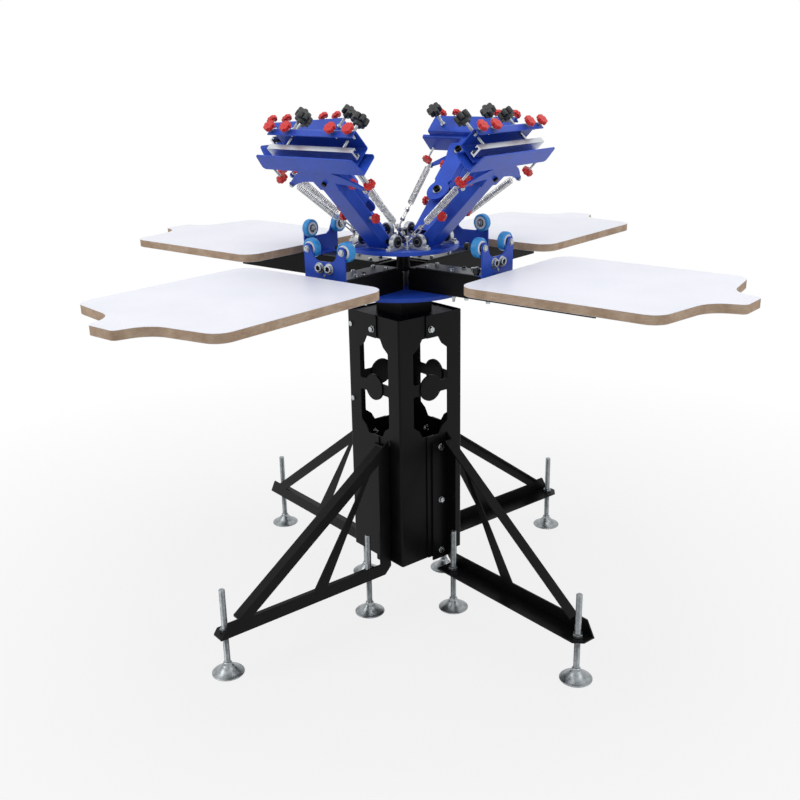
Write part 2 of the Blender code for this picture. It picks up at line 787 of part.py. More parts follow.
def roller_bracket():
    """Plate with a throat for the arm, a foot on the channel and two axles."""
    inner_face = BRACKET_OUTER - BRACKET_SHEET
    foot = BOARD_TOP_Z - BOARD_THICKNESS
    plate = extruded(bracket_outline(), inner_face, BRACKET_OUTER, "x")
    shelf = block(
        (inner_face - BRACKET_FOOT_DEPTH, -BRACKET_FOOT_HALF, foot),
        (inner_face + WELD, BRACKET_FOOT_HALF, foot + BRACKET_SHEET),
    )
    joins = [shelf]
    nut_face = roller_centre() - ROLLER_WIDTH / 2 - GAP
    for side in (-1, 1):
        across = side * ROLLER_OFFSET
        joins.append(
            turned(
                [
                    (AXLE_HEAD_RADIUS, nut_face - AXLE_NUT_HEIGHT),
                    (AXLE_HEAD_RADIUS, nut_face),
                    (AXLE_RADIUS, nut_face),
                    (AXLE_RADIUS, inner_face - ROLLER_SPACER),
                    (AXLE_HEAD_RADIUS, inner_face - ROLLER_SPACER),
                    (AXLE_HEAD_RADIUS, BRACKET_OUTER + AXLE_HEAD_HEIGHT),
                ],
                ROD_SIDES,
                "x",
                (0, across, ROLLER_Z),
            )
        )
    return fused(plate, joins)


def roller():
    """Ball bearing roller with a rounded tyre, along its own X axis."""
    half = ROLLER_WIDTH / 2
    bore = (AXLE_RADIUS + AXLE_BORE_SLACK) / math.cos(math.pi / ROLLER_SIDES)
    profile = [
        (bore, -half),
        (ROLLER_RADIUS - ROLLER_ROUND, -half),
        (ROLLER_RADIUS, ROLLER_ROUND - half),
        (ROLLER_RADIUS, half - ROLLER_ROUND),
        (ROLLER_RADIUS - ROLLER_ROUND, half),
        (bore, half),
    ]
    return turned(profile, ROLLER_SIDES, "x", bored=True)


def make_board_carousel(carousel):
    piece("lower_disc", disc(LOWER_DISC_RADIUS, LOWER_DISC_Z), "blue_enamel", carousel)
    arm_mesh, board_mesh, bracket_mesh, roller_mesh = board_arm(), print_board(), roller_bracket(), roller()
    for index in range(STATIONS):
        number = index + 1
        turn = about_z(QUARTER_TURN * index)
        piece(f"board_arm_{number}", arm_mesh, "black_enamel", carousel, turn)
        piece(f"print_board_{number}", board_mesh, "laminate", carousel, turn)
        piece(f"roller_bracket_{number}", bracket_mesh, "blue_enamel", carousel, turn)
        for letter, side in (("a", 1), ("b", -1)):
            spot = turn @ Matrix.Translation((roller_centre(), side * ROLLER_OFFSET, ROLLER_Z))
            piece(f"roller_{number}{letter}", roller_mesh, "roller_blue", carousel, spot)


# Arm carousel


def block_outline():
    """Pillow block seen along its bearing: reach and height."""
    foot = UPPER_DISC_Z + DISC_SHEET - WELD
    ledge = UPPER_DISC_Z + DISC_SHEET + BLOCK_BASE
    centre = (PIVOT_REACH, PIVOT_Z)
    outline = [(PIVOT_REACH + BLOCK_HALF, foot), (PIVOT_REACH + BLOCK_HALF, ledge)]
    outline += arc(centre, BLOCK_HOUSING_RADIUS, 0, 180, 4)
    outline += [(PIVOT_REACH - BLOCK_HALF, ledge), (PIVOT_REACH - BLOCK_HALF, foot)]
    return outline


def upper_disc():
    """Disc with eight pillow blocks and, between the arms, four posts for the spring eyes."""
    top = UPPER_DISC_Z + DISC_SHEET
    bore = (PIVOT_RADIUS + PIVOT_BORE_SLACK) / math.cos(math.pi / BORE_SIDES)
    joins, cuts = [], []
    for index in range(STATIONS):
        turn = about_z(QUARTER_TURN * index)
        for side in (-1, 1):
            near = side * BLOCK_OFFSET - BLOCK_WIDTH / 2
            far = near + BLOCK_WIDTH
            joins.append(placed(extruded(block_outline(), near, far, "y"), turn))
        span = PIVOT_HALF + OVERRUN
        axis_ends = [(PIVOT_REACH, end * span, PIVOT_Z) for end in (-1, 1)]
        cuts.append(placed(rod(bore, *axis_ends, BORE_SIDES), turn))
        post = turned(
            [
                (ANCHOR_RADIUS, top - WELD),
                (ANCHOR_RADIUS, ANCHOR_TOP_Z - ANCHOR_HEAD_HEIGHT),
                (ANCHOR_HEAD_RADIUS, ANCHOR_TOP_Z - ANCHOR_HEAD_HEIGHT),
                (ANCHOR_HEAD_RADIUS, ANCHOR_TOP_Z),
            ],
            ROD_SIDES,
            centre=(ANCHOR_OFFSET, ANCHOR_OFFSET, 0),
        )
        joins.append(placed(post, turn))
    return fused(disc(UPPER_DISC_RADIUS, UPPER_DISC_Z), joins, cuts)


# Print arm


def tube_start():
    """Inner end of the arm tube: its lower corner meets the disc when the arm is fully up."""
    clear = PIVOT_Z - UPPER_DISC_Z - DISC_SHEET - GAP
    raised = math.radians(ARM_RAISED)
    return -(clear - TUBE_HALF_DEPTH * math.cos(raised)) / math.sin(raised)


def yoke_outline():
    """Top plate of the yoke: round end, neck, flare and square end."""
    notch = math.degrees(math.acos((YOKE_NECK_START - TILT_BOLT_REACH) / YOKE_ROUND_RADIUS))
    half = arc((TILT_BOLT_REACH, 0), YOKE_ROUND_RADIUS, 180, 90, 3)
    half += arc((TILT_BOLT_REACH, 0), YOKE_ROUND_RADIUS, 90, notch, 1)[1:]
    half.append((YOKE_NECK_START, YOKE_NECK_HALF))
    half = [spot for spot in half if spot[1] > WELD]
    half.append((YOKE_NECK_END, YOKE_NECK_HALF))
    half.append((YOKE_FLARE, YOKE_FLARE_HALF))
    half.append((YOKE_END - YOKE_CORNER, YOKE_FLARE_HALF))
    half.append((YOKE_END, YOKE_FLARE_HALF - YOKE_CORNER))
    tip = [(TILT_BOLT_REACH - YOKE_ROUND_RADIUS, 0)]
    return tip + mirrored(half)


def horn_outline():
    """Bar across the arm with two curved horns, broad at the root, that carry the springs."""
    tip_inner = HORN_TIP_REACH - HORN_WIDTH / 2
    run = HORN_TIP_OFFSET - HORN_ROOT_OFFSET
    steps = 3
    outer, inner = [], []
    for step in range(steps):
        share = step / steps
        reach = HORN_ROOT_INNER + (tip_inner - HORN_ROOT_INNER) * share
        reach += HORN_SAG * math.sin(math.pi * share) / 2
        width = HORN_ROOT_WIDTH + (HORN_WIDTH - HORN_ROOT_WIDTH) * share
        across = HORN_ROOT_OFFSET + run * share
        outer.append((reach + width, across))
        inner.append((reach, across))
    tip = arc((HORN_TIP_REACH, HORN_TIP_OFFSET), HORN_TIP_RADIUS, 0, 180, 3)
    half = outer + tip + inner[::-1] + [(HORN_BAR_INNER, TUBE_HALF - WELD)]
    return mirrored(half)


def red_knob(centre, along, direction, shank_end):
    """Small lobed knob and its screw; centre is the middle of the knob's inner face."""
    axis_index = "xyz".index(along)
    face = centre[axis_index]
    place = AXIS_PLACES[along]
    across, up = [centre[index] for index in range(3) if index != axis_index]
    near, far = sorted((face, face + direction * RED_KNOB_DEPTH))
    outline = lobed(RED_KNOB_RADIUS, RED_KNOB_WAIST, RED_KNOB_LOBES)
    knob = extruded([(across + one, up + other) for one, other in outline], near, far, along)
    start = place(across, up, shank_end)
    end = place(across, up, face + direction * RED_KNOB_DEPTH / 2)
    return [knob, rod(RED_SCREW_RADIUS, start, end, ROD_SIDES)]


def horn_plane():
    """Top face of the horn bar."""
    return -TUBE_HALF_DEPTH + WELD


def print_arm():
    """Tube, yoke, horn bar, pivot shaft, bolts and guide knobs of one arm."""
    start = tube_start()
    depth, half = TUBE_HALF_DEPTH, TUBE_HALF
    tube = block((start, -half, -depth), (TUBE_END, half, depth))
    hollow = block(
        (start - OVERRUN, TUBE_WALL - half, TUBE_WALL - depth),
        (TUBE_END + OVERRUN, half - TUBE_WALL, depth - TUBE_WALL),
    )
    tube = fused(tube, cuts=[hollow])
    pivot_end = (0, PIVOT_HALF, 0)
    joins = [rod(PIVOT_RADIUS, -Vector(pivot_end), pivot_end)]
    joins.append(extruded(yoke_outline(), YOKE_TOP - YOKE_SHEET, YOKE_TOP))
    for side in (-1, 1):
        faces = sorted((side * YOKE_NECK_HALF - side * WELD, side * (YOKE_NECK_HALF - YOKE_CHEEK_SHEET)))
        joins.append(
            block(
                (YOKE_CHEEK_START, faces[0], depth - WELD),
                (YOKE_CHEEK_END, faces[1], YOKE_TOP - YOKE_SHEET + WELD),
            )
        )
        pin_foot = (HORN_TIP_REACH, side * HORN_TIP_OFFSET, horn_plane() - WELD)
        pin_top = (HORN_TIP_REACH, side * HORN_TIP_OFFSET, horn_plane() + HORN_PIN_HEIGHT)
        joins.append(rod(HORN_PIN_RADIUS, pin_foot, pin_top))
        for reach, lift in GUIDE_KNOBS:
            face = side * (TUBE_HALF + GUIDE_KNOB_GAP)
            joins += red_knob((reach, face, lift), "y", side, side * (TUBE_HALF - TUBE_WALL / 2))
    joins.append(extruded(horn_outline(), horn_plane() - HORN_SHEET, horn_plane()))
    for reach in (TILT_BOLT_REACH, SWIVEL_REACH):
        bolt_profile = [
            (SWIVEL_RADIUS, depth - WELD),
            (SWIVEL_RADIUS, YOKE_TOP - WELD),
            (CAP_HEAD_RADIUS, YOKE_TOP - WELD),
            (CAP_HEAD_RADIUS, YOKE_TOP + CAP_HEAD_HEIGHT),
        ]
        joins.append(turned(bolt_profile, ROD_SIDES, centre=(reach, 0, 0)))
    return fused(tube, joins)


# Screen head


def carrier():
    """Back plate of the head: a sole with cut ends under the screen, a wall and a fold that meets the jaw."""
    sheet = CARRIER_SHEET
    wall_profile = [
        (CARRIER_BACK, CARRIER_FOOT),
        (CARRIER_BACK, CARRIER_TOP),
        (JAW_BACK + WELD, CARRIER_TOP),
        (JAW_BACK + WELD, CARRIER_TOP - sheet),
        (CARRIER_BACK + sheet, CARRIER_TOP - sheet),
        (CARRIER_BACK + sheet, CARRIER_FOOT),
    ]
    wall = extruded(wall_profile, -HEAD_HALF, HEAD_HALF, "y")
    sole = extruded(
        mirrored([(CARRIER_BACK + sheet / 2, CARRIER_INNER_HALF), (CARRIER_OUTER, CARRIER_OUTER_HALF)]),
        CARRIER_FOOT,
        CARRIER_FOOT + sheet,
    )
    return wall, sole


def jaw():
    """Bent plate over the clamp rail: a wall on the carrier, a roof and a folded lip."""
    profile = [
        (JAW_BACK, JAW_FOOT),
        (JAW_BACK + JAW_SHEET, JAW_FOOT),
        (JAW_BACK + JAW_SHEET, JAW_TOP - JAW_SHEET),
        (JAW_LIP - JAW_SHEET, JAW_TOP - JAW_SHEET),
        (JAW_LIP - JAW_SHEET, JAW_LIP_FOOT),
        (JAW_LIP, JAW_LIP_FOOT),
        (JAW_LIP, JAW_TOP),
        (JAW_BACK, JAW_TOP),
    ]
    return extruded(profile, -JAW_HALF, JAW_HALF, "y")


def print_head():
    """Carrier, jaw, swivel tongue and the red knobs, in the frame of the arm."""
    wall, sole = carrier()
    tongue_top = YOKE_TOP - YOKE_SHEET - GAP
    tongue = extruded(
        [
            (CARRIER_BACK + CARRIER_SHEET / 2, -TONGUE_HALF),
            (CARRIER_BACK + CARRIER_SHEET / 2, TONGUE_HALF),
            (TONGUE_INNER, TONGUE_HALF),
            (TONGUE_INNER, -TONGUE_HALF),
        ],
        tongue_top - TONGUE_SHEET,
        tongue_top,
    )
    joins = [sole, jaw(), tongue]
    cuts = []
    for side in (-1, 1):
        for offset in LIP_KNOB_OFFSETS:
            face = (JAW_LIP + RED_SCREW_SHOW, side * offset, LIP_KNOB_HEIGHT)
            joins += red_knob(face, "x", 1, JAW_LIP - WELD)
        tail = (TAIL_KNOB_REACH, side * TAIL_KNOB_OFFSET, TAIL_KNOB_HEIGHT)
        joins += red_knob(tail, "x", -1, CARRIER_BACK + CARRIER_SHEET / 2)
        hole = (RAIL_SCREW_RADIUS + RAIL_SCREW_SLACK) / math.cos(math.pi / ROD_SIDES)
        screw = (RAIL_REACH, side * RAIL_SCREW_OFFSET)
        cuts.append(rod(hole, (*screw, JAW_TOP - JAW_SHEET - OVERRUN), (*screw, JAW_TOP + OVERRUN)))
    swivel = (SWIVEL_RADIUS + SWIVEL_SLACK) / math.cos(math.pi / BORE_SIDES)
    tongue_span = (tongue_top - TONGUE_SHEET - OVERRUN, tongue_top + OVERRUN)
    cuts.append(rod(swivel, (SWIVEL_REACH, 0, tongue_span[0]), (SWIVEL_REACH, 0, tongue_span[1]), BORE_SIDES))
    return fused(wall, joins, cuts)


def clamp_rail():
    """Aluminium rail with a C-slot, its two screws and their star knobs."""
    low, high = RAIL_REST, RAIL_REST + RAIL_DEPTH
    half = RAIL_WIDTH / 2
    slot, channel = RAIL_SLOT_WIDTH / 2, RAIL_CHANNEL_WIDTH / 2
    floor, lip = high - RAIL_SLOT_DEPTH, high - RAIL_LIP
    section = [
        (RAIL_REACH + across, up)
        for across, up in (
            (-half, low),
            (half, low),
            (half, high),
            (slot, high),
            (slot, lip),
            (channel, lip),
            (channel, floor),
            (-channel, floor),
            (-channel, lip),
            (-slot, lip),
            (-slot, high),
            (-half, high),
        )
    ]
    joins = []
    knob_top = RAIL_KNOB_FOOT + BLACK_KNOB_NECK + BLACK_KNOB_DEPTH
    for side in (-1, 1):
        spot = (RAIL_REACH, side * RAIL_SCREW_OFFSET)
        neck_top = RAIL_KNOB_FOOT + BLACK_KNOB_NECK
        screw_profile = [
            (RAIL_SCREW_RADIUS, floor - WELD),
            (RAIL_SCREW_RADIUS, RAIL_KNOB_FOOT),
            (BLACK_KNOB_NECK_RADIUS, RAIL_KNOB_FOOT),
            (BLACK_KNOB_NECK_RADIUS, neck_top + WELD),
        ]
        joins.append(turned(screw_profile, ROD_SIDES, centre=(*spot, 0)))
        outline = lobed(BLACK_KNOB_RADIUS, BLACK_KNOB_WAIST, BLACK_KNOB_LOBES)
        shifted = [(spot[0] + one, spot[1] + other) for one, other in outline]
        joins.append(extruded(shifted, neck_top, knob_top))
    return fused(extruded(section, -RAIL_HALF, RAIL_HALF, "y"), joins)


# Lift springs


def eye_points(centre, axis, exit_way, offset_way):
    """Open ring about a pin, from its free end round to where the wire leaves along exit_way."""
    leave = exit_way - axis * exit_way.dot(axis)
    leave.normalize()
    points = []
    for step in range(SPRING_EYE_POINTS + 1):
        angle = math.radians(SPRING_EYE_SWEEP * (1 - step / SPRING_EYE_POINTS))
        spoke = offset_way * math.cos(angle) - leave * math.sin(angle)
        points.append(centre + spoke * SPRING_EYE_RADIUS)
    return points


def spring_path(side):
    """Centre line of a spring in the frame of its raised arm: eye, coil, straight tail, eye."""
    raised = Matrix.Rotation(math.radians(ARM_RAISED), 3, "Y")
    pin = Vector((HORN_TIP_REACH, side * HORN_TIP_OFFSET, horn_plane() + HORN_EYE_LIFT))
    anchor_level = ANCHOR_TOP_Z - ANCHOR_EYE_DROPS[side]
    post = Vector((ANCHOR_OFFSET - PIVOT_REACH, side * ANCHOR_OFFSET, anchor_level - PIVOT_Z))
    anchor = raised @ post
    post_axis = raised @ Vector((0, 0, 1))
    pin_axis = Vector((0, 0, 1))
    way = (anchor - pin).normalized()
    pin_side = pin_axis.cross(way).normalized() * side
    post_side = post_axis.cross(way).normalized() * side
    third = way.cross(pin_side)
    twist = math.atan2(post_side.dot(third), post_side.dot(pin_side))
    turn = side * math.tau * SPRING_CURLS + twist
    points = eye_points(pin, pin_axis, way, pin_side)
    steps = SPRING_CURLS * SPRING_CURL_POINTS
    for step in range(steps + 1):
        share = step / steps
        angle = turn * share
        radius = SPRING_COIL_RADIUS
        spoke = pin_side * math.cos(angle) + third * math.sin(angle)
        reach = SPRING_COIL_START + SPRING_COIL_LENGTH * share
        points.append(pin + way * reach + spoke * radius)
    points += eye_points(anchor, post_axis, -way, post_side)[::-1]
    return points


def spring_curve(side):
    """Round wire along the spring's path."""
    points = spring_path(side)
    curve = bpy.data.curves.new("spring", "CURVE")
    curve.dimensions = "3D"
    curve.bevel_depth = SPRING_WIRE_RADIUS
    curve.bevel_resolution = 1
    curve.use_fill_caps = True
    line = curve.splines.new("POLY")
    line.points.add(len(points) - 1)
    for spot, point in zip(line.points, points):
        spot.co = (*point, 1)
    return curve


def make_arm_carousel(carousel):
    piece("upper_disc", upper_disc(), "blue_enamel", carousel)
    arm_mesh, head_mesh, rail_mesh = print_arm(), print_head(), clamp_rail()
    to_swivel = Matrix.Translation((-SWIVEL_REACH, 0, 0))
    head_mesh.transform(to_swivel)
    rail_mesh.transform(to_swivel)
    springs = {side: spring_curve(side) for side in (1, -1)}
    lift = Matrix.Rotation(math.radians(-ARM_RAISED), 4, "Y")
    for index in range(STATIONS):
        number = index + 1
        turn = about_z(QUARTER_TURN * index)
        pivot = frame(f"arm_pivot_{number}", carousel, turn @ Matrix.Translation((PIVOT_REACH, 0, PIVOT_Z)) @ lift)
        swivel = frame(f"head_swivel_{number}", pivot, Matrix.Translation((SWIVEL_REACH, 0, 0)))
        piece(f"print_arm_{number}", arm_mesh, "blue_enamel", pivot)
        piece(f"print_head_{number}", head_mesh, "blue_enamel", swivel)
        piece(f"clamp_rail_{number}", rail_mesh, "aluminium", swivel)
        for letter, side in (("a", 1), ("b", -1)):
            piece(f"lift_spring_{number}{letter}", springs[side], "spring_steel", pivot)


def main():
    clear_scene()
    upright = Matrix.Identity(4)
    stand = frame("stand", None, about_z(STAND_YAW))
    make_column(stand)
    make_legs(stand)
    piece("pedestal", pedestal(), "black_enamel", stand)
    piece("main_shaft", main_shaft(), "bright_steel", stand)
    make_board_carousel(frame("board_carousel", None, upright))
    make_arm_carousel(frame("arm_carousel", None, upright))
    bpy.context.view_layer.update()


main()
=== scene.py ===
# %% [markdown]
# This lesson dresses a carousel screen printing press: a black floor stand, four white boards and four
# blue arms that clamp the screens. The frame that it loads holds every part at its real size and place,
# in metres. Flat plates that look right keep their shape and only get a finish. Round, folded and
# sprung parts are made again here with finer forms, because a smooth edge is what the light shows.

# %% Load the frame
import json
import math

import bmesh
import bpy
from mathutils import Matrix, Vector


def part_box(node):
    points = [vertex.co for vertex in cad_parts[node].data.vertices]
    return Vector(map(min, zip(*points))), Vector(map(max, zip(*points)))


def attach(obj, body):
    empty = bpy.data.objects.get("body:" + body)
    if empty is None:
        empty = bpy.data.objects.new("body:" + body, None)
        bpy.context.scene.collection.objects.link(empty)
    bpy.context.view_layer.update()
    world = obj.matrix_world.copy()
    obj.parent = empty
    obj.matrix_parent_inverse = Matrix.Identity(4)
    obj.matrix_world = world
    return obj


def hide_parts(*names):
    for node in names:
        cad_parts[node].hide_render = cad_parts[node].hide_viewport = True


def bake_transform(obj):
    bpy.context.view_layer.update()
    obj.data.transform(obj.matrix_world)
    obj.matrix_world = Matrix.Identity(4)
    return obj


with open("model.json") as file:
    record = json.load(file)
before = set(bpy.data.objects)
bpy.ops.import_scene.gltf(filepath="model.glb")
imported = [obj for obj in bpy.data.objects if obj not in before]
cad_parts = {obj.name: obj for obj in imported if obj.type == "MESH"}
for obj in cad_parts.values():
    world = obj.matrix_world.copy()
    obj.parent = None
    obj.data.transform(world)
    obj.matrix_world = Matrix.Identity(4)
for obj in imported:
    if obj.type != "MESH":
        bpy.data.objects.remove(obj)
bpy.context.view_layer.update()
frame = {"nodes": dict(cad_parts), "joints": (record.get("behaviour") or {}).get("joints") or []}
JOINTS = {joint["name"]: joint for joint in frame["joints"]}
STATIONS = 4
QUARTER_TURN = 360 / STATIONS
STAND_YAW = -11.5
UPRIGHT = Matrix.Identity(4)
print("pieces in the frame:", len(frame["nodes"]))

# %% [markdown]
# The camera stands where the photographer stood: 1.4 m above the floor and 2.4 m from the spindle,
# looking down by 18.6 degrees. Its heading, tilt and roll are written as angles, and the matrix is
# built from them, so each one can be changed by itself.

# %% Camera
CAMERA_PLACE = (1.549, -1.893, 1.381)
CAMERA_HEADING = 39.63
CAMERA_PITCH = 18.62
CAMERA_ROLL = -1.04
SENSOR_WIDTH = 36.0
FOCAL_LENGTH = 44.28


def camera_matrix():
    """Place of a camera from its heading, downward pitch and roll."""
    heading = math.radians(CAMERA_HEADING)
    pitch, roll = math.radians(CAMERA_PITCH), math.radians(CAMERA_ROLL)
    ahead = Vector(
        (-math.sin(heading) * math.cos(pitch), math.cos(heading) * math.cos(pitch), -math.sin(pitch))
    )
    right = Vector((math.cos(heading), math.sin(heading), 0))
    above = right.cross(ahead)
    rolled_right = right * math.cos(roll) + above * math.sin(roll)
    rolled_above = above * math.cos(roll) - right * math.sin(roll)
    matrix = Matrix((rolled_right, rolled_above, -ahead)).transposed().to_4x4()
    matrix.translation = CAMERA_PLACE
    return matrix


camera = bpy.data.objects.new("camera", bpy.data.cameras.new("camera"))
camera.data.sensor_width = SENSOR_WIDTH
camera.data.lens = FOCAL_LENGTH
camera.matrix_world = camera_matrix()
bpy.context.scene.collection.objects.link(camera)
bpy.context.scene.camera = camera
print("camera at", [round(value, 3) for value in camera.matrix_world.translation])

# %% [markdown]
# Every sheet part is an outline that is cut, thickened and given a small round on its edges. Every
# round part is a profile turned about an axis. These few tools make nearly the whole press, so they
# come first. A fillet tool rounds the corners of an outline, which lets the outlines keep only the
# points that their shape needs.

# %% Shape tools
CREASE = math.radians(38)
EDGE_SOFT = 0.0006
ROD_EDGE_SHARE = 0.15
FILLET_SIDE_SHARE = 0.45
AXIS_PLACES = {
    "x": lambda across, up, along: (along, across, up),
    "y": lambda across, up, along: (across, along, up),
    "z": lambda across, up, along: (across, up, along),
}
OUTWARD = Matrix.Rotation(math.pi / 2, 4, "Y")
INWARD = Matrix.Rotation(-math.pi / 2, 4, "Y")
DOWNWARD = Matrix.Rotation(math.pi, 4, "X")


def meshed(work):
    """Turn a bmesh into a mesh."""
    mesh = bpy.data.meshes.new("shape")
    work.to_mesh(mesh)
    work.free()
    return mesh


def softened(work, radius, steps=2):
    """Round every sharp edge of a bmesh."""
    sharp = [edge for edge in work.edges if edge.is_manifold and edge.calc_face_angle() > CREASE]
    bmesh.ops.bevel(
        work, geom=sharp, offset=radius, segments=steps, profile=0.5, affect="EDGES", clamp_overlap=True
    )


def plate(outline, low, high, along="z", holes=(), soft=EDGE_SOFT, steps=2):
    """Sheet cut to an outline with holes, from low to high along an axis, with soft edges."""
    place = AXIS_PLACES[along]
    work = bmesh.new()
    edges = []
    for loop in (outline, *holes):
        corners = [work.verts.new(place(across, up, low)) for across, up in loop]
        edges += [work.edges.new(pair) for pair in zip(corners, corners[1:] + corners[:1])]
    if holes:
        bmesh.ops.triangle_fill(work, use_beauty=True, edges=edges)
    else:
        work.faces.new(corners)
    grown = bmesh.ops.extrude_face_region(work, geom=list(work.faces))
    moved = [item for item in grown["geom"] if isinstance(item, bmesh.types.BMVert)]
    bmesh.ops.translate(work, verts=moved, vec=place(0, 0, high - low))
    bmesh.ops.recalc_face_normals(work, faces=work.faces)
    if soft:
        softened(work, soft, steps)
    return meshed(work)


def ringed(rings, bored=False):
    """Closed mesh through rings of points; a bored one closes on its first ring."""
    work = bmesh.new()
    loops = [[work.verts.new(spot) for spot in ring] for ring in rings]
    pairs = list(zip(loops, loops[1:]))
    if bored:
        pairs.append((loops[-1], loops[0]))
    else:
        work.faces.new(loops[0])
        work.faces.new(loops[-1])
    for lower, upper in pairs:
        for step, corner in enumerate(lower):
            after = (step + 1) % len(lower)
            work.faces.new((corner, lower[after], upper[after], upper[step]))
    bmesh.ops.recalc_face_normals(work, faces=work.faces)
    return meshed(work)


def lathe(profile, sides=48, along="z", centre=(0, 0, 0), bored=False):
    """Turned part from (radius, height) points; a bored one closes its profile on itself."""
    place = AXIS_PLACES[along]
    rings = []
    for radius, height in profile:
        spots = [place(across, up, height) for across, up in circle(radius, sides)]
        rings.append([Vector(centre) + Vector(spot) for spot in spots])
    return ringed(rings, bored)


def banded(inner, outer, low, high, centre=(0, 0, 0), along="x", sides=64):
    """Plain ring about an axis: the inner and outer radius, and the two ends."""
    return lathe([(inner, low), (outer, low), (outer, high), (inner, high)], sides, along, centre, True)


def pin_profile(radius, length, edge):
    """Profile of a plain pin with small edges."""
    return [(radius - edge, 0), (radius, edge), (radius, length - edge), (radius - edge, length)]


def rod(radius, start, end, sides=24):
    """Round bar between two points."""
    length = (Vector(end) - Vector(start)).length
    profile = pin_profile(radius, length, radius * ROD_EDGE_SHARE)
    return moved_by(lathe(profile, sides), pointing(start, end))


def pointing(start, end):
    """Matrix that stands at one point and turns Z towards another."""
    turn = (Vector(end) - Vector(start)).to_track_quat("Z", "Y").to_matrix().to_4x4()
    return Matrix.Translation(start) @ turn


def moved_by(mesh, matrix):
    """Move a mesh and hand it back."""
    mesh.transform(matrix)
    return mesh


def seated(mesh, spot, turn):
    """Turn a mesh that stands on z = 0 and set it on a spot."""
    return moved_by(mesh, Matrix.Translation(spot) @ turn)


def moved_to(mesh, *spot):
    """Shift a copy of a mesh to a spot."""
    copy = mesh.copy()
    copy.transform(Matrix.Translation(spot))
    return copy


def gathered(*parts):
    """One mesh from several; a part is a mesh, or a pair of a mesh and the number of its finish."""
    work = bmesh.new()
    for part in parts:
        mesh, number = part if isinstance(part, tuple) else (part, None)
        first = len(work.faces)
        work.from_mesh(mesh)
        work.faces.ensure_lookup_table()
        if number is not None:
            for face in work.faces[first:]:
                face.material_index = number
    return meshed(work)


def circle(radius, sides=48, centre=(0, 0)):
    """Round outline."""
    angles = [math.tau * step / sides for step in range(sides)]
    x, y = centre
    return [(x + radius * math.cos(angle), y + radius * math.sin(angle)) for angle in angles]


def arc(centre, radius, start, end, steps):
    """Points along an arc, both ends included, angles in degrees."""
    points = []
    for step in range(steps + 1):
        angle = math.radians(start + (end - start) * step / steps)
        points.append((centre[0] + radius * math.cos(angle), centre[1] + radius * math.sin(angle)))
    return points


def mirrored(outline):
    """Half an outline at positive second coordinate, followed by its mirror image."""
    return outline + [(along, -across) for along, across in reversed(outline)]


def corner_arc(before, corner, after, radius, steps=5, most_share=1.0, least_turn=1.0):
    """Points that round one corner, using at most a share of the shorter side; a gentle turn stays."""
    corner = Vector(corner)
    back, onward = Vector(before) - corner, Vector(after) - corner
    turn = math.pi - back.angle(onward)
    if turn < math.radians(least_turn):
        return [tuple(corner)]
    slope = math.tan(turn / 2)
    reach = min(radius * slope, min(back.length, onward.length) * most_share)
    bend = reach / slope
    middle = corner + (back.normalized() + onward.normalized()).normalized() * bend / math.cos(turn / 2)
    start = corner + back.normalized() * reach - middle
    first = math.degrees(math.atan2(start.y, start.x))
    sweep = math.degrees(math.copysign(turn, (-back).cross(onward)))
    return arc(middle, bend, first, first + sweep, steps)


def filleted(outline, radius, steps=5, least_turn=20.0):
    """Round the corners of a closed outline; gentle turns, such as those along an arc, stay."""
    points = []
    for index, corner in enumerate(outline):
        after = outline[(index + 1) % len(outline)]
        before = outline[index - 1]
        points += corner_arc(before, corner, after, radius, steps, FILLET_SIDE_SHARE, least_turn)
    return points


def bent_sheet(centre_line, thickness, bend, steps=5):
    """Closed outline of a folded sheet from the corners of its middle line."""
    line = [Vector(centre_line[0])]
    for before, corner, after in zip(centre_line, centre_line[1:], centre_line[2:]):
        line += [Vector(spot) for spot in corner_arc(before, corner, after, bend, steps)]
    line.append(Vector(centre_line[-1]))
    sides = ([], [])
    for index, spot in enumerate(line):
        ahead = line[min(index + 1, len(line) - 1)] - line[max(index - 1, 0)]
        normal = Vector((-ahead.y, ahead.x)).normalized() * thickness / 2
        sides[0].append(tuple(spot + normal))
        sides[1].append(tuple(spot - normal))
    return sides[0] + sides[1][::-1]


def hexagon(across_flats, centre=(0, 0)):
    """Outline of a hex head."""
    return circle(across_flats / math.sqrt(3), 6, centre)


print("shape tools ready")

# %% [markdown]
# A finish is a small node network. One function adds a node with its settings and its links, and one
# function turns the hex value of a colour, as a designer picks it on a screen, into the linear value
# that the shader expects. Everything is painted in object coordinates, which are metres here, so a
# pattern's scale is simply one divided by its real size.

# %% Finish tools
MM = 0.001


def linear(hex_value):
    """Linear colour of an sRGB hex value such as 1c2f9a."""
    channels = [int(hex_value[index : index + 2], 16) / 255 for index in (0, 2, 4)]
    low = [value / 12.92 if value <= 0.04045 else ((value + 0.055) / 1.055) ** 2.4 for value in channels]
    return (*low, 1.0)


def add(tree, kind, inputs=None, **settings):
    """Add a node, set its options, and fill its sockets with values or with links from other sockets."""
    node = tree.nodes.new(kind)
    for name, value in settings.items():
        setattr(node, name, value)
    for name, value in (inputs or {}).items():
        if isinstance(value, bpy.types.NodeSocket):
            tree.links.new(value, node.inputs[name])
        else:
            node.inputs[name].default_value = value
    return node


def new_finish(name):
    """Empty material with its tree and its object coordinates."""
    material = bpy.data.materials.new(name)
    material.use_nodes = True
    tree = material.node_tree
    tree.nodes.clear()
    return material, tree, add(tree, "ShaderNodeTexCoord").outputs["Object"]


def to_output(tree, shader, kind="ShaderNodeOutputMaterial"):
    """Send a shader to the output."""
    add(tree, kind, {"Surface": shader.outputs[0]})


def finished(material, tree, values):
    """Give a material its principled shader and hand it back."""
    to_output(tree, add(tree, "ShaderNodeBsdfPrincipled", values))
    return material


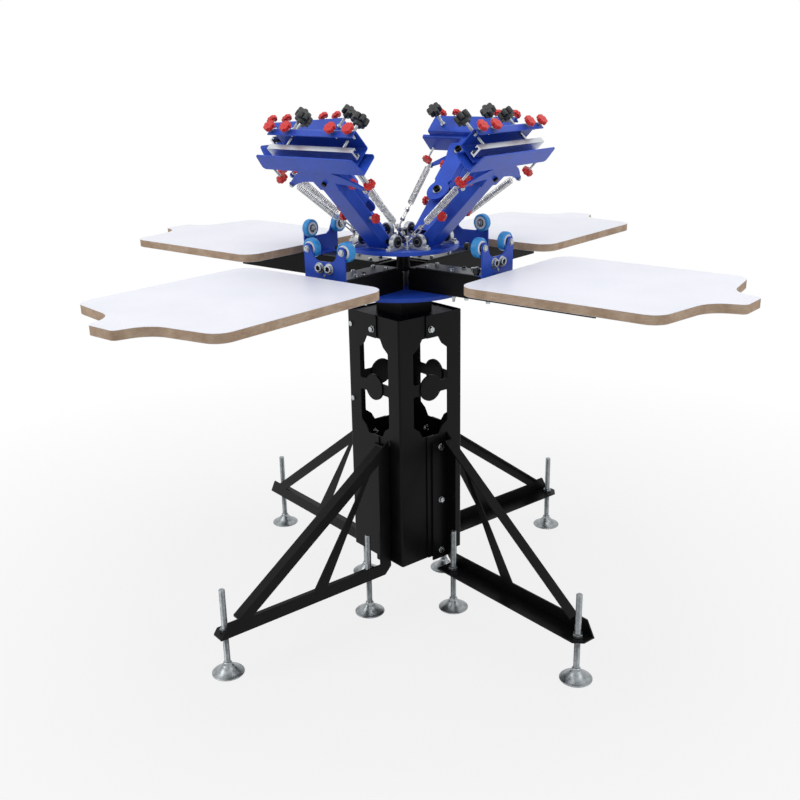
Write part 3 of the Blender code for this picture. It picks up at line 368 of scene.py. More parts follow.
def speckled(tree, spots, grain, detail=3.0, stretch=(1, 1, 1)):
    """Noise whose grain is a real size; stretch draws it out along an axis."""
    mapped = add(tree, "ShaderNodeMapping", {"Vector": spots, "Scale": stretch}).outputs["Vector"]
    settings = {"Vector": mapped, "Scale": 1 / grain, "Detail": detail}
    return add(tree, "ShaderNodeTexNoise", settings).outputs["Fac"]


def toned(tree, factor, dark, light, low=0.3, high=0.7):
    """Colour between two hex values, by a factor."""
    ramp = add(tree, "ShaderNodeValToRGB", {"Fac": factor})
    ramp.color_ramp.elements[0].position = low
    ramp.color_ramp.elements[0].color = linear(dark)
    ramp.color_ramp.elements[1].position = high
    ramp.color_ramp.elements[1].color = linear(light)
    return ramp.outputs["Color"]


def ranged(tree, factor, low, high):
    """Factor stretched between two values."""
    limits = {"Value": factor, "To Min": low, "To Max": high}
    return add(tree, "ShaderNodeMapRange", limits).outputs["Result"]


def bumped(tree, height, depth):
    """Surface bump of a real depth."""
    return add(tree, "ShaderNodeBump", {"Height": height, "Distance": depth}).outputs["Normal"]


print("finish tools ready")

# %% [markdown]
# Powder coat is sprayed on as dry powder and baked. It leaves a thick, even skin with a fine orange
# peel, which breaks the edge of each highlight. The arms and discs are royal blue with a fairly tight
# gloss, and the stand is a deep black that is a little duller. Both come from one function with unlike
# colours and gloss.

# %% Powder coat
ORANGE_PEEL = 1.6 * MM
ORANGE_PEEL_DEPTH = 0.03 * MM
COAT_CLOUD = 60 * MM
COAT_IOR = 1.5
CLEAR_WEIGHT = 0.03
CLEAR_ROUGHNESS = 0.16


def powder_coat(name, dark, light, roughness, gloss):
    """Baked powder coat: clouded colour, orange peel and a clear top."""
    material, tree, spots = new_finish(name)
    cloud = speckled(tree, spots, COAT_CLOUD)
    peel = speckled(tree, spots, ORANGE_PEEL, 1.0)
    values = {
        "Base Color": toned(tree, cloud, dark, light),
        "Roughness": ranged(tree, cloud, roughness - 0.04, roughness + 0.05),
        "IOR": COAT_IOR,
        "Specular IOR Level": gloss,
        "Coat Weight": CLEAR_WEIGHT,
        "Coat Roughness": CLEAR_ROUGHNESS,
        "Normal": bumped(tree, peel, ORANGE_PEEL_DEPTH),
    }
    return finished(material, tree, values)


BLUE_COAT = powder_coat("blue_powder_coat", "1f44aa", "2650c2", 0.36, 0.28)
BLACK_COAT = powder_coat("black_powder_coat", "070708", "0c0c0d", 0.42, 0.10)
print("powder coats:", BLUE_COAT.name, BLACK_COAT.name)

# %% [markdown]
# Bare metals differ mostly in how they were worked. Zinc plate on the fasteners is bright with a faint
# cloud, and the pressed feet get a darker, rougher copy of it. The spindle and the slide plates are dark
# from oil, and drawn spring wire has a tight sheen. Extruded aluminium carries fine lines along its
# length, and the die cast pillow blocks have a pale, coarse skin. All are metallic and keep the default
# index of refraction.

# %% Metals
PLATE_CLOUD = 9 * MM
PLATE_DEPTH = 0.01 * MM
STEEL_CLOUD = 3 * MM
BLACK_STEEL_CLOUD = 2 * MM
EXTRUDED_LINE = 0.8 * MM
EXTRUDED_STRETCH = (1, 0.02, 1)
CAST_GRAIN = 0.9 * MM
CAST_DEPTH = 0.08 * MM
METAL_SPREAD = 0.08


def metal(name, dark, light, roughness, grain=STEEL_CLOUD, depth=PLATE_DEPTH, stretch=(1, 1, 1)):
    """Bare or plated metal with a clouded tint and a worked surface."""
    material, tree, spots = new_finish(name)
    cloud = speckled(tree, spots, grain, 4.0, stretch)
    values = {
        "Base Color": toned(tree, cloud, dark, light),
        "Metallic": 1.0,
        "Roughness": ranged(tree, cloud, roughness - METAL_SPREAD, roughness + METAL_SPREAD),
        "Normal": bumped(tree, cloud, depth),
    }
    return finished(material, tree, values)


ZINC = metal("zinc_plate", "9fa4a7", "c9cdce", 0.26, PLATE_CLOUD)
# The feet take a darker, rougher copy of the zinc.
FOOT_ZINC = metal("dull_zinc_plate", "7f8487", "a6abad", 0.34, PLATE_CLOUD)
STEEL = metal("turned_steel", "9b9c9e", "c4c6c8", 0.24)
OILED_STEEL = metal("oiled_steel", "3b3d3e", "5c5f60", 0.36)
SPRING_WIRE = metal("drawn_spring_wire", "a9abad", "d2d3d4", 0.22)
ALUMINIUM = metal("extruded_aluminium", "c3c7cc", "dde0e3", 0.34, EXTRUDED_LINE, stretch=EXTRUDED_STRETCH)
CAST = metal("die_cast_housing", "a9abad", "cbcdce", 0.46, CAST_GRAIN, CAST_DEPTH)
# This black also fills the floor of the sockets; under a bright head it is painted shade.
BLACK_STEEL_AND_SOCKET_SHADE = metal("blackened_steel", "141415", "242526", 0.38, BLACK_STEEL_CLOUD)
print("metals:", ZINC.name, STEEL.name, SPRING_WIRE.name, ALUMINIUM.name, CAST.name, BLACK_STEEL_AND_SOCKET_SHADE.name)

# %% [markdown]
# The knobs are moulded: red nylon with a soft gloss, and black glass filled nylon with a dry, slightly
# pitted skin. The rollers have a light blue polyurethane tyre on a pale nylon ring. A moulded part
# shows even colour, a broad highlight and a faint ripple, so colour variation stays small and the
# roughness does the work.

# %% Plastics
MOULD_RIPPLE = 2.5 * MM
MOULD_DEPTH = 0.02 * MM
FILLED_GRAIN = 0.8 * MM


def moulded(name, dark, light, roughness, grain=MOULD_RIPPLE):
    """Moulded plastic or rubber."""
    material, tree, spots = new_finish(name)
    ripple = speckled(tree, spots, grain)
    values = {
        "Base Color": toned(tree, ripple, dark, light),
        "Roughness": ranged(tree, ripple, roughness - 0.05, roughness + 0.05),
        "IOR": COAT_IOR,
        "Normal": bumped(tree, ripple, MOULD_DEPTH),
    }
    return finished(material, tree, values)


RED_NYLON = moulded("red_nylon", "c21a16", "d9261f", 0.34)
BLACK_NYLON = moulded("black_filled_nylon", "0e1012", "181b1d", 0.40, FILLED_GRAIN)
TYRE_BLUE = moulded("blue_polyurethane", "1f84cd", "319de2", 0.36)
PALE_NYLON = moulded("pale_nylon", "e3e9f1", "f2f5f9", 0.4)
SEAL_RUBBER = moulded("bearing_seal", "1c1d20", "2a2c30", 0.5)
print("plastics:", RED_NYLON.name, BLACK_NYLON.name, TYRE_BLUE.name, PALE_NYLON.name)

# %% [markdown]
# A print board is fibreboard with a white melamine face on both sides. The face is smooth and very
# slightly cool, and the sawn edge is bare: tan fibres, denser and darker towards both faces. The edge
# finish is drawn in fine layers that run round the board, just under a millimetre each.

# %% Board finishes
FIBRE_LAYER = 0.9 * MM
FIBRE_LENGTH = 12 * MM
LAMINATE_GRAIN = 1.2 * MM
LAMINATE_CLOUD = 150 * MM
LAMINATE_DEPTH = 0.01 * MM
FIBRE_CLOUD = 30 * MM
FIBRE_DEPTH = 0.12 * MM
FIBRE_IOR = 1.45


def laminate():
    """White melamine face."""
    material, tree, spots = new_finish("white_melamine")
    grain = speckled(tree, spots, LAMINATE_GRAIN, 2.0)
    values = {
        "Base Color": toned(tree, speckled(tree, spots, LAMINATE_CLOUD), "e3e5ee", "eaebf3"),
        "Roughness": ranged(tree, grain, 0.36, 0.44),
        "IOR": COAT_IOR,
        "Normal": bumped(tree, grain, LAMINATE_DEPTH),
    }
    return finished(material, tree, values)


def fibreboard():
    """Sawn edge of fibreboard."""
    material, tree, spots = new_finish("fibreboard_edge")
    flat_share = FIBRE_LAYER / FIBRE_LENGTH
    layers = speckled(tree, spots, FIBRE_LAYER, 4.0, (flat_share, flat_share, 1))
    cloud = speckled(tree, spots, FIBRE_CLOUD)
    mixed = add(tree, "ShaderNodeMath", {0: layers, 1: cloud, 2: 0.22}, operation="MULTIPLY_ADD")
    values = {
        "Base Color": toned(tree, mixed.outputs[0], "a88d75", "cbb39b", 0.35, 0.6),
        "Roughness": 0.85,
        "IOR": FIBRE_IOR,
        "Normal": bumped(tree, layers, FIBRE_DEPTH),
    }
    return finished(material, tree, values)


MELAMINE = laminate()
FIBREBOARD = fibreboard()
print("board finishes:", MELAMINE.name, FIBREBOARD.name)

# %% [markdown]
# A new piece rides on a body of the frame, so it follows every joint. Where it is a finer form of a
# part that the frame has, it replaces that part. Big flat faces next to small rounded edges shade best
# when the normals follow the larger faces, which is what the weighted normal modifier does.

# %% Showing a piece
def dressed(name, mesh, finishes, place):
    """Object with its finishes and even shading, not yet carried by anything."""
    if not mesh.materials:
        for finish in finishes:
            mesh.materials.append(finish)
        mesh.shade_smooth()
        mesh.set_sharp_from_angle(angle=CREASE)
    item = bpy.data.objects.new(name, mesh)
    item.matrix_world = place
    bpy.context.scene.collection.objects.link(item)
    shading = item.modifiers.new("even_shading", "WEIGHTED_NORMAL")
    shading.keep_sharp = True
    return item


def show(name, mesh, finishes, body, place=UPRIGHT, replaces=()):
    """Add a piece that rides on a body."""
    item = dressed(name, mesh, finishes, place)
    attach(item, body)
    if replaces:
        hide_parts(*replaces)
    return item


def about_z(degrees):
    """Turn about the spindle."""
    return Matrix.Rotation(math.radians(degrees), 4, "Z")


def station_turn(number):
    """Turn of a station about the spindle; station 1 lies along X."""
    return about_z(QUARTER_TURN * (number - 1))


def stand_turn(number):
    """Turn of a side of the stand, which is set a little round from the stations."""
    return about_z(STAND_YAW) @ station_turn(number)


def show_stations(*pieces, place=station_turn):
    """Show pieces at every station; {} in a body's name stands for the station's number.

    Each piece is a name, a mesh, its finishes and its body, then maybe the node it stands for and its slot;
    the slot is not used.
    """
    for number in range(1, STATIONS + 1):
        for name, mesh, finishes, body, *stands_for in pieces:
            node, slot = stands_for or (None, None)
            replaces = [f"{node}_{number}"] if node else ()
            show(f"{name}_{number}", mesh, finishes, body.format(number), place(number), replaces)


def painted(finish, *names):
    """Give a finish to parts of the frame that keep their shape."""
    for name in names:
        item = frame["nodes"][name]
        item.data.materials.clear()
        item.data.materials.append(finish)


print("stations:", STATIONS)

# %% [markdown]
# Fasteners give a machine its scale, so each kind is modelled once and used everywhere: a hex bolt on a
# washer, a nut, a blackened socket screw on a bright washer, and a thread. A true thread is finer than
# a pixel here, so it is drawn as turned ridges of about the right depth, up to three times as far apart
# as on the real screw.

# %% Fasteners
HEX_FLATS = 0.013
HEX_HEIGHT = 0.0055
WASHER_RADIUS = 0.0085
WASHER_THICK = 0.0016
THREAD_PITCH = 0.003
SOCKET_WASHER_THICK = 0.002
SOCKET_SHARE = 1.05
WASHER_EDGE_SHARE = 0.25
HEX_SOFT_SHARE = 0.06
SOCKET_SOFT_SHARE = 0.07
SOCKET_FLOOR_SHARES = (0.9, 0.4)
THREAD_PITCH_SHARE = 0.6
THREAD_RADIUS_SHARE = 0.16
RIDGE_SHARES = (0.35, 0.6, 0.95)
NUT_HEIGHT = 0.0065
STAND_BOLT_RADIUS = 0.004
STAND_BOLT_END = 0.006


def washer(radius=WASHER_RADIUS, thickness=WASHER_THICK):
    """Flat washer lying on z = 0."""
    return lathe(pin_profile(radius, thickness, thickness * WASHER_EDGE_SHARE), 32)


def hex_head(flats=HEX_FLATS, height=HEX_HEIGHT, foot=0.0):
    """Hexagonal head or nut with worn corners."""
    return plate(hexagon(flats), foot, foot + height, soft=flats * HEX_SOFT_SHARE)


def hex_bolt(flats=HEX_FLATS, height=HEX_HEIGHT, washer_radius=WASHER_RADIUS):
    """Hex bolt on its washer, standing on z = 0."""
    return gathered(washer(washer_radius), hex_head(flats, height, WASHER_THICK))


def nut_and_end():
    """Nut on a washer with the end of the bolt coming through."""
    end = thread(STAND_BOLT_RADIUS, (0, 0, NUT_HEIGHT), (0, 0, NUT_HEIGHT + STAND_BOLT_END))
    return gathered(washer(), hex_head(height=NUT_HEIGHT, foot=WASHER_THICK), end)


def thread(radius, start, end, pitch=THREAD_PITCH, sides=20):
    """Threaded bar between two points."""
    length = (Vector(end) - Vector(start)).length
    depth = min(THREAD_PITCH_SHARE * pitch, THREAD_RADIUS_SHARE * radius)
    turns = max(1, int(length / pitch))
    profile = [(radius - depth, 0)]
    for index in range(turns):
        for share, reach in zip(RIDGE_SHARES, (radius, radius, radius - depth)):
            profile.append((reach, length * (index + share) / turns))
    profile.append((radius - depth, length))
    return moved_by(lathe(profile, sides), pointing(start, end))


def socket_screw(radius, height, washer_radius, head_number=1):
    """Socket screw parts: bright washer, hex socket head, black floor; under a bright head it is painted
    shade.
    """
    foot, top = SOCKET_WASHER_THICK, SOCKET_WASHER_THICK + height
    socket = hexagon(radius * SOCKET_SHARE)
    head = plate(circle(radius, 40), foot, top, holes=[socket], soft=radius * SOCKET_SOFT_SHARE)
    floor_radius, rise = radius * SOCKET_FLOOR_SHARES[0], height * SOCKET_FLOOR_SHARES[1]
    floor = lathe([(floor_radius, foot), (floor_radius, foot + rise)], 24)
    # The floor always takes the black finish; under a bright head it is painted shade.
    return [(washer(washer_radius, SOCKET_WASHER_THICK), 0), (head, head_number), (floor, 1)]


print("hex bolt corners:", len(hex_bolt().vertices))

# %% [markdown]
# The column is four posts of one shape. Each is one plate, cut flat and folded once down its middle,
# and runs 15 mm past the middle of its two faces, over or under the next post, where a bolt holds both.
# Here it is made the same way: the blank is cut and its edges are softened while it is flat, the fold
# zone is split into strips, and every point is then rolled round the bend. The windows with their bars
# and discs are half in one post and half in the next, so the outline of a face runs along the middle of
# its window.

# %% Column posts
COLUMN_HALF = 0.100
COLUMN_FOOT_Z = 0.140
COLUMN_TOP_Z = 0.803
POST_SHEET = 0.003
POST_LAP = 0.015
POST_BEND = 0.005
PLAY = 0.0003
FOLD_STEPS = 6
WINDOW_FOOT_Z = 0.484
WINDOW_HEAD_Z = 0.745
WINDOW_HALF = 0.055
WINDOW_END_HALF = 0.025
WINDOW_SHOULDER_HALF = 0.037
WINDOW_SHOULDER_RISE = 0.020
WINDOW_SHOULDER_END = 0.033
WINDOW_DISC_RADIUS = 0.034
WINDOW_BAR_HALF = 0.015
WINDOW_CORNER = 0.004


def window_end():
    """One side of a window end: half-width, and how far in from the end."""
    return [
        (WINDOW_END_HALF, 0),
        (WINDOW_SHOULDER_HALF, WINDOW_SHOULDER_RISE),
        (WINDOW_HALF, WINDOW_SHOULDER_END),
    ]


def post_face_outline(corner):
    """Face of a post from its fold to its lap: across from the middle of the face, and up."""
    middle = (WINDOW_FOOT_Z + WINDOW_HEAD_Z) / 2
    half_angle = math.degrees(math.asin(WINDOW_BAR_HALF / WINDOW_DISC_RADIUS))
    outline = [(corner, COLUMN_FOOT_Z), (-POST_LAP, COLUMN_FOOT_Z), (-POST_LAP, WINDOW_FOOT_Z)]
    outline += [(across, WINDOW_FOOT_Z + rise) for across, rise in window_end()]
    outline.append((WINDOW_HALF, middle - WINDOW_BAR_HALF))
    outline += arc((0, middle), WINDOW_DISC_RADIUS, -half_angle, half_angle - 360, 32)
    outline.append((WINDOW_HALF, middle + WINDOW_BAR_HALF))
    outline += [(across, WINDOW_HEAD_Z - rise) for across, rise in reversed(window_end())]
    outline.append((-POST_LAP, WINDOW_HEAD_Z))
    outline += [(-POST_LAP, COLUMN_TOP_Z), (corner, COLUMN_TOP_Z)]
    return outline


def post_blank(corner):
    """Flat blank of a post: the fold line lies on x = 0, the outer skin on y = 0."""
    half_arc = math.pi * POST_BEND / 4
    face = post_face_outline(corner)[1:-1]
    unrolled = [(across - corner + POST_BEND - half_arc, up) for across, up in face]
    outline = unrolled + [(-across, up) for across, up in reversed(unrolled)]
    return plate(filleted(outline, WINDOW_CORNER), -POST_SHEET, 0, "y")


def rolled(spot, corner):
    """Where a point of the flat blank goes when the post is folded."""
    half_arc = math.pi * POST_BEND / 4
    beyond = abs(spot.x) - half_arc
    if beyond > 0:
        across, out = corner - POST_BEND - beyond, corner + spot.y
        return (out, across, spot.z) if spot.x < 0 else (across, out, spot.z)
    angle = (spot.x + half_arc) / POST_BEND
    centre, radius = corner - POST_BEND, POST_BEND + spot.y
    return (centre + radius * math.cos(angle), centre + radius * math.sin(angle), spot.z)


def column_post(growth):
    """Folded post; the outer pair is larger by one sheet and the play in the lap."""
    corner = COLUMN_HALF + growth
    half_arc = math.pi * POST_BEND / 4
    work = bmesh.new()
    work.from_mesh(post_blank(corner))
    for step in range(FOLD_STEPS + 1):
        line = half_arc * (2 * step / FOLD_STEPS - 1)
        everything = [*work.verts, *work.edges, *work.faces]
        bmesh.ops.bisect_plane(work, geom=everything, plane_co=(line, 0, 0), plane_no=(1, 0, 0))
    for vert in work.verts:
        vert.co = rolled(vert.co, corner)
    bmesh.ops.recalc_face_normals(work, faces=work.faces)
    return meshed(work)


post_meshes = [column_post(POST_SHEET + PLAY), column_post(0)]
for number in range(1, STATIONS + 1):
    mesh, place = post_meshes[(number - 1) % 2], stand_turn(number)
    replaced = [f"column_post_{number}"]
    show(f"folded_post_{number}", mesh, [BLACK_COAT], "stand", place, replaced)
print("post points:", [len(mesh.vertices) for mesh in post_meshes])

# %% [markdown]
# The legs, the pedestal and the channels under the boards are plain folded plate, which the frame
# already has at the right size. They keep their shape and get the black coat. Their bolts are added:
# three through each leg's mast flange with nuts inside the column, one through each lap, and two beside
# the corner on every other side.

# %% Legs, pedestal and stand bolts
LEG_SHEET = 0.004
LEG_BOLT_SIDE = 0.028
LEG_BOLT_LEVELS = (0.153, 0.301, 0.450)
LAP_BOLT_LEVEL = 0.767
CORNER_BOLT_SIDE = -0.088
CORNER_BOLT_LEVELS = (0.765, 0.565)
FACE_OUT = COLUMN_HALF + POST_SHEET + PLAY


def stand_bolts(number):
    """All bolts and nuts on one side of the stand."""
    flange_face = FACE_OUT + PLAY + LEG_SHEET
    parts = []
    for level in LEG_BOLT_LEVELS:
        parts.append(seated(hex_bolt(), (flange_face, LEG_BOLT_SIDE, level), OUTWARD))
        parts.append(seated(nut_and_end(), (COLUMN_HALF - POST_SHEET, LEG_BOLT_SIDE, level), INWARD))
    parts.append(seated(hex_bolt(), (FACE_OUT, 0, LAP_BOLT_LEVEL), OUTWARD))
    if number % 2 == 0:
        for level in CORNER_BOLT_LEVELS:
            parts.append(seated(hex_bolt(), (COLUMN_HALF, CORNER_BOLT_SIDE, level), OUTWARD))
    return gathered(*parts)


painted(BLACK_COAT, "pedestal")
for number in range(1, STATIONS + 1):
    painted(BLACK_COAT, f"leg_{number}", f"board_arm_{number}")
    mesh, place = stand_bolts(number), stand_turn(number)
    show(f"stand_bolts_{number}", mesh, [ZINC], "stand", place)
print("stand bolts on four sides")

# %% [markdown]
# A levelling foot is a pressed pad with a soft dome, a socket in its middle and a threaded rod that
# screws through the leg's sole, locked by a nut on each side. The pad is a turned profile whose dome is
# an S-curve, so its highlight is a ring as on the pressed steel.

# %% Levelling feet
PAD_RIM = 0.0035
PAD_TOP_Z = 0.022
PAD_NECK_RADIUS = 0.0135
PAD_SOCKET_RADIUS = 0.0105
PAD_SOCKET_TOP = 0.031
FOOT_ROD_RADIUS = 0.0075
SOLE_LOW_Z = 0.110
SOLE_HIGH_Z = 0.114
FOOT_NUT_FLATS = 0.0225
FOOT_NUT_HEIGHT = 0.009
DOME_STEPS = 12
DOME_CURVE = 1.35
DOME_DIP = 0.12
PAD_EDGE = 0.001
PAD_COLLAR = 0.003
PAD_SOCKET_EDGE = 0.002


def foot_pad(radius):
    """Pressed pad with its socket."""
    rim = radius - PAD_EDGE
    profile = [(rim, 0), (radius, PAD_EDGE), (radius, PAD_RIM - PAD_EDGE)]
    for step in range(DOME_STEPS + 1):
        share = step / DOME_STEPS
        rise = share**DOME_CURVE * (1 - DOME_DIP * math.sin(math.pi * share))
        profile.append((rim + (PAD_NECK_RADIUS - rim) * share, PAD_RIM + (PAD_TOP_Z - PAD_RIM) * rise))
    profile += [
        (PAD_SOCKET_RADIUS + PAD_EDGE, PAD_TOP_Z + PAD_EDGE),
        (PAD_SOCKET_RADIUS, PAD_TOP_Z + PAD_COLLAR),
        (PAD_SOCKET_RADIUS, PAD_SOCKET_TOP - PAD_SOCKET_EDGE),
        (PAD_SOCKET_RADIUS - PAD_SOCKET_EDGE, PAD_SOCKET_TOP),
    ]
    return lathe(profile, 64)


def levelling_foot(radius, top):
    """Whole foot about its own axis, standing on z = 0."""
    return gathered(
        foot_pad(radius),
        thread(FOOT_ROD_RADIUS, (0, 0, PAD_TOP_Z), (0, 0, top), sides=28),
        hex_head(FOOT_NUT_FLATS, FOOT_NUT_HEIGHT, SOLE_LOW_Z - FOOT_NUT_HEIGHT),
        hex_head(FOOT_NUT_FLATS, FOOT_NUT_HEIGHT, SOLE_HIGH_Z),
    )


pad_low, pad_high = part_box("levelling_foot_1")
foot_mesh = levelling_foot((pad_high.x - pad_low.x) / 2, pad_high.z)
for number in range(1, 2 * STATIONS + 1):
    low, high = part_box(f"levelling_foot_{number}")
    place = Matrix.Translation(((low.x + high.x) / 2, (low.y + high.y) / 2, 0))
    replaced = [f"levelling_foot_{number}"]
    show(f"domed_foot_{number}", foot_mesh, [FOOT_ZINC], "stand", place, replaced)
print("foot pad width in millimetres:", round((pad_high.x - pad_low.x) / MM, 1))

# %% [markdown]
# Both carousels turn on one oiled spindle. Under the upper disc a black bearing hub hangs round it,
# closed by a cap with six small bolts. The nut and the threaded end stand on top. The discs are laser
# cut plate with a rounded edge.

# %% Spindle and discs
SHAFT_RADIUS = 0.0125
BORE_RADIUS = 0.013
HUB_RADIUS = 0.017
HUB_DROP = 0.052
HUB_CAP_RADIUS = 0.021
HUB_CAP_THICK = 0.006
HUB_BOLTS = 6
HUB_BOLT_RING = 0.0172
HUB_BOLT_FLATS = 0.0055
HUB_BOLT_HEIGHT = 0.003
HUB_BOLT_WASHER = 0.0036
SHAFT_NUT_FLATS = 0.032
SHAFT_NUT_HEIGHT = 0.012
DISC_SIDES = 128
DISC_SOFT = 0.0012
DISC_ROUND_SHARE = 0.3


def disc_mesh(radius, foot, top, bore):
    """Plate disc with a bore and rounded rim."""
    soft, step = DISC_SOFT, DISC_SOFT * DISC_ROUND_SHARE
    rim = [(radius - soft, foot), (radius - step, foot + step), (radius, foot + soft)]
    rim += [(radius, top - soft), (radius - step, top - step), (radius - soft, top)]
    return lathe([(bore, foot), *rim, (bore, top)], DISC_SIDES, bored=True)


shaft_low, shaft_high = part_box("main_shaft")
lower_low, lower_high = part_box("lower_disc")
upper_low, upper_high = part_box("upper_disc")
LOWER_TOP_Z = lower_high.z
UPPER_FOOT_Z = upper_low.z
DISC_SHEET = lower_high.z - lower_low.z
UPPER_TOP_Z = UPPER_FOOT_Z + DISC_SHEET
UPPER_RADIUS = (upper_high.x - upper_low.x) / 2
LOWER_RADIUS = (lower_high.x - lower_low.x) / 2

spindle = gathered(
    rod(SHAFT_RADIUS, (0, 0, shaft_low.z), (0, 0, UPPER_TOP_Z + SHAFT_NUT_HEIGHT), 48),
    thread(SHAFT_RADIUS, (0, 0, UPPER_TOP_Z + SHAFT_NUT_HEIGHT), (0, 0, shaft_high.z), sides=36),
    hex_head(SHAFT_NUT_FLATS, SHAFT_NUT_HEIGHT, UPPER_TOP_Z + PLAY),
)
show("spindle", spindle, [OILED_STEEL], "stand", replaces=["main_shaft"])


def bearing_hub():
    """Housing under the upper disc, its cap and the ring of bolts below."""
    top, cap_top = UPPER_FOOT_Z - PLAY, UPPER_FOOT_Z - HUB_DROP
    cap_foot = cap_top - HUB_CAP_THICK
    housing = banded(BORE_RADIUS, HUB_RADIUS, cap_top, top, along="z", sides=48)
    cap = banded(BORE_RADIUS, HUB_CAP_RADIUS, cap_foot, cap_top, along="z", sides=48)
    parts = [(housing, 0), (cap, 0)]
    for across, up in circle(HUB_BOLT_RING, HUB_BOLTS):
        bolt = hex_bolt(HUB_BOLT_FLATS, HUB_BOLT_HEIGHT, HUB_BOLT_WASHER)
        parts.append((seated(bolt, (across, up, cap_foot), DOWNWARD), 1))
    return gathered(*parts)


show("bearing_hub", bearing_hub(), [BLACK_COAT, ZINC], "arm_carousel")

DISCS = (
    ("lower_plate", LOWER_RADIUS, lower_low.z, LOWER_TOP_Z, "board_carousel", "lower_disc"),
    ("upper_plate", UPPER_RADIUS, UPPER_FOOT_Z, UPPER_TOP_Z, "arm_carousel", "upper_disc"),
)
for name, radius, foot, top, body, node in DISCS:
    mesh = disc_mesh(radius, foot, top, BORE_RADIUS)
    show(name, mesh, [BLUE_COAT], body, replaces=[node])
print("disc radii:", round(LOWER_RADIUS, 4), round(UPPER_RADIUS, 4))

# %% [markdown]
# A print board has straight sides, round inner corners, round shoulders and one tab at its outer end,
# by which the printer turns the carousel. A hollow sweep leads into the tab, so every corner gets a
# radius of its own. The faces are laminate and the sawn edge is bare, so the edge faces of the mesh get
# the second finish: they are the ones that do not look up or down.

# %% Print boards
BOARD_TOP_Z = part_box("print_board_1")[1].z
BOARD_FOOT_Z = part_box("print_board_1")[0].z
BOARD_INNER = 0.325
BOARD_HALF = 0.2225
BOARD_CORNER = 0.045
BOARD_SHOULDER_LENGTH = 0.4675
BOARD_SHOULDER_CORNER = 0.040
BOARD_NOTCH_LENGTH = 0.494
BOARD_NOTCH_HALF = 0.0595
BOARD_NOTCH_CORNER = 0.065
BOARD_LENGTH = 0.562
BOARD_TAB_HALF = 0.0395
BOARD_TAB_CORNER = 0.014
BOARD_CORNER_STEPS = 12
LAMINATE_THICK = 0.0008
BOARD_SOFT = 0.0007
UPRIGHT_SHARE = 0.3


def board_outline():
    """Half of the board from its inner corner to its tab, one rounded corner after another, mirrored."""
    corners = [
        (0, 0, 0),
        (0, BOARD_HALF, BOARD_CORNER),
        (BOARD_SHOULDER_LENGTH, BOARD_HALF, BOARD_SHOULDER_CORNER),
        (BOARD_NOTCH_LENGTH, BOARD_NOTCH_HALF, BOARD_NOTCH_CORNER),
        (BOARD_LENGTH, BOARD_TAB_HALF, BOARD_TAB_CORNER),
        (BOARD_LENGTH, 0, 0),
    ]
    half = []
    for before, corner, after in zip(corners, corners[1:], corners[2:]):
        half += corner_arc(before[:2], corner[:2], after[:2], corner[2], BOARD_CORNER_STEPS)
    return mirrored([(BOARD_INNER + along, across) for along, across in half])


def print_board():
    """Board with laminate faces and bare edges."""
    mesh = plate(board_outline(), BOARD_FOOT_Z, BOARD_TOP_Z, soft=BOARD_SOFT)
    for face in mesh.polygons:
        skin = min(BOARD_TOP_Z - face.center.z, face.center.z - BOARD_FOOT_Z)
        face.material_index = int(abs(face.normal.z) < UPRIGHT_SHARE and skin > LAMINATE_THICK)
    return mesh


board_mesh = print_board()
BOARD_FINISHES = [MELAMINE, FIBREBOARD]
show_stations(
    ("laminated_board", board_mesh, BOARD_FINISHES, "board_carousel", "print_board", "laminated_board"),
)
print("board length:", round(max(vert.co.x for vert in board_mesh.vertices) - BOARD_INNER, 4))

# %% [markdown]
# Between the lower disc and each board runs a black channel. A ground plate, dark with oil, lies on its
# top and lets the board be moved in or out. Four bright bolts and one black socket screw hold it, and a
# small black hand knob beside the bracket locks it. Below the channel hang the bolts of the board, the
# inner pair with long ends. All of it stays lower than the upper disc and the lowered heads, so the
# carousels can pass over it.

# %% Slides on the channels
CHANNEL_FOOT_Z, CHANNEL_TOP_Z = (corner.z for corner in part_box("board_arm_1"))
SLIDE_START = 0.062
SLIDE_END = 0.252
SLIDE_HALF = 0.031
SLIDE_THICK = 0.003
SLIDE_CORNER = 0.003
SLIDE_BOLTS = ((0.092, -0.020), (0.165, -0.020), (0.092, 0.020), (0.200, 0.020))
SLIDE_BOLT_HEIGHT = 0.004
SLIDE_SOCKET = (0.173, 0.020)
SLIDE_SOCKET_RADIUS = 0.005
SLIDE_SOCKET_HEIGHT = 0.003
UNDER_BOLT_REACHES = (0.215, 0.277)
LONG_BOLT_REACH = 0.178
LONG_BOLT_END = 0.010
LONG_BOLT_RADIUS = 0.0035
UNDER_BOLT_OFFSET = 0.0285
SMALL_FLATS = 0.010
SMALL_WASHER = 0.0062
SMALL_HEIGHT = 0.0045


def slide_fasteners():
    """Bolts on the slide plate and below the channel."""
    top = CHANNEL_TOP_Z + SLIDE_THICK
    parts = []
    for spot in SLIDE_BOLTS:
        parts.append((moved_to(hex_bolt(SMALL_FLATS, SLIDE_BOLT_HEIGHT, SMALL_WASHER), *spot, top), 0))
    for mesh, number in socket_screw(SLIDE_SOCKET_RADIUS, SLIDE_SOCKET_HEIGHT, SMALL_WASHER):
        parts.append((moved_to(mesh, *SLIDE_SOCKET, top), number))
    for side in (-1, 1):
        across = side * UNDER_BOLT_OFFSET
        for reach in (LONG_BOLT_REACH, *UNDER_BOLT_REACHES):
            bolt = hex_bolt(SMALL_FLATS, SMALL_HEIGHT, SMALL_WASHER)
            parts.append((seated(bolt, (reach, across, CHANNEL_FOOT_Z), DOWNWARD), 0))
        spot, nut_foot = (LONG_BOLT_REACH, across), CHANNEL_FOOT_Z - SMALL_HEIGHT
        start, end = (*spot, nut_foot), (*spot, nut_foot - LONG_BOLT_END)
        parts.append((thread(LONG_BOLT_RADIUS, start, end), 0))
    return gathered(*parts)


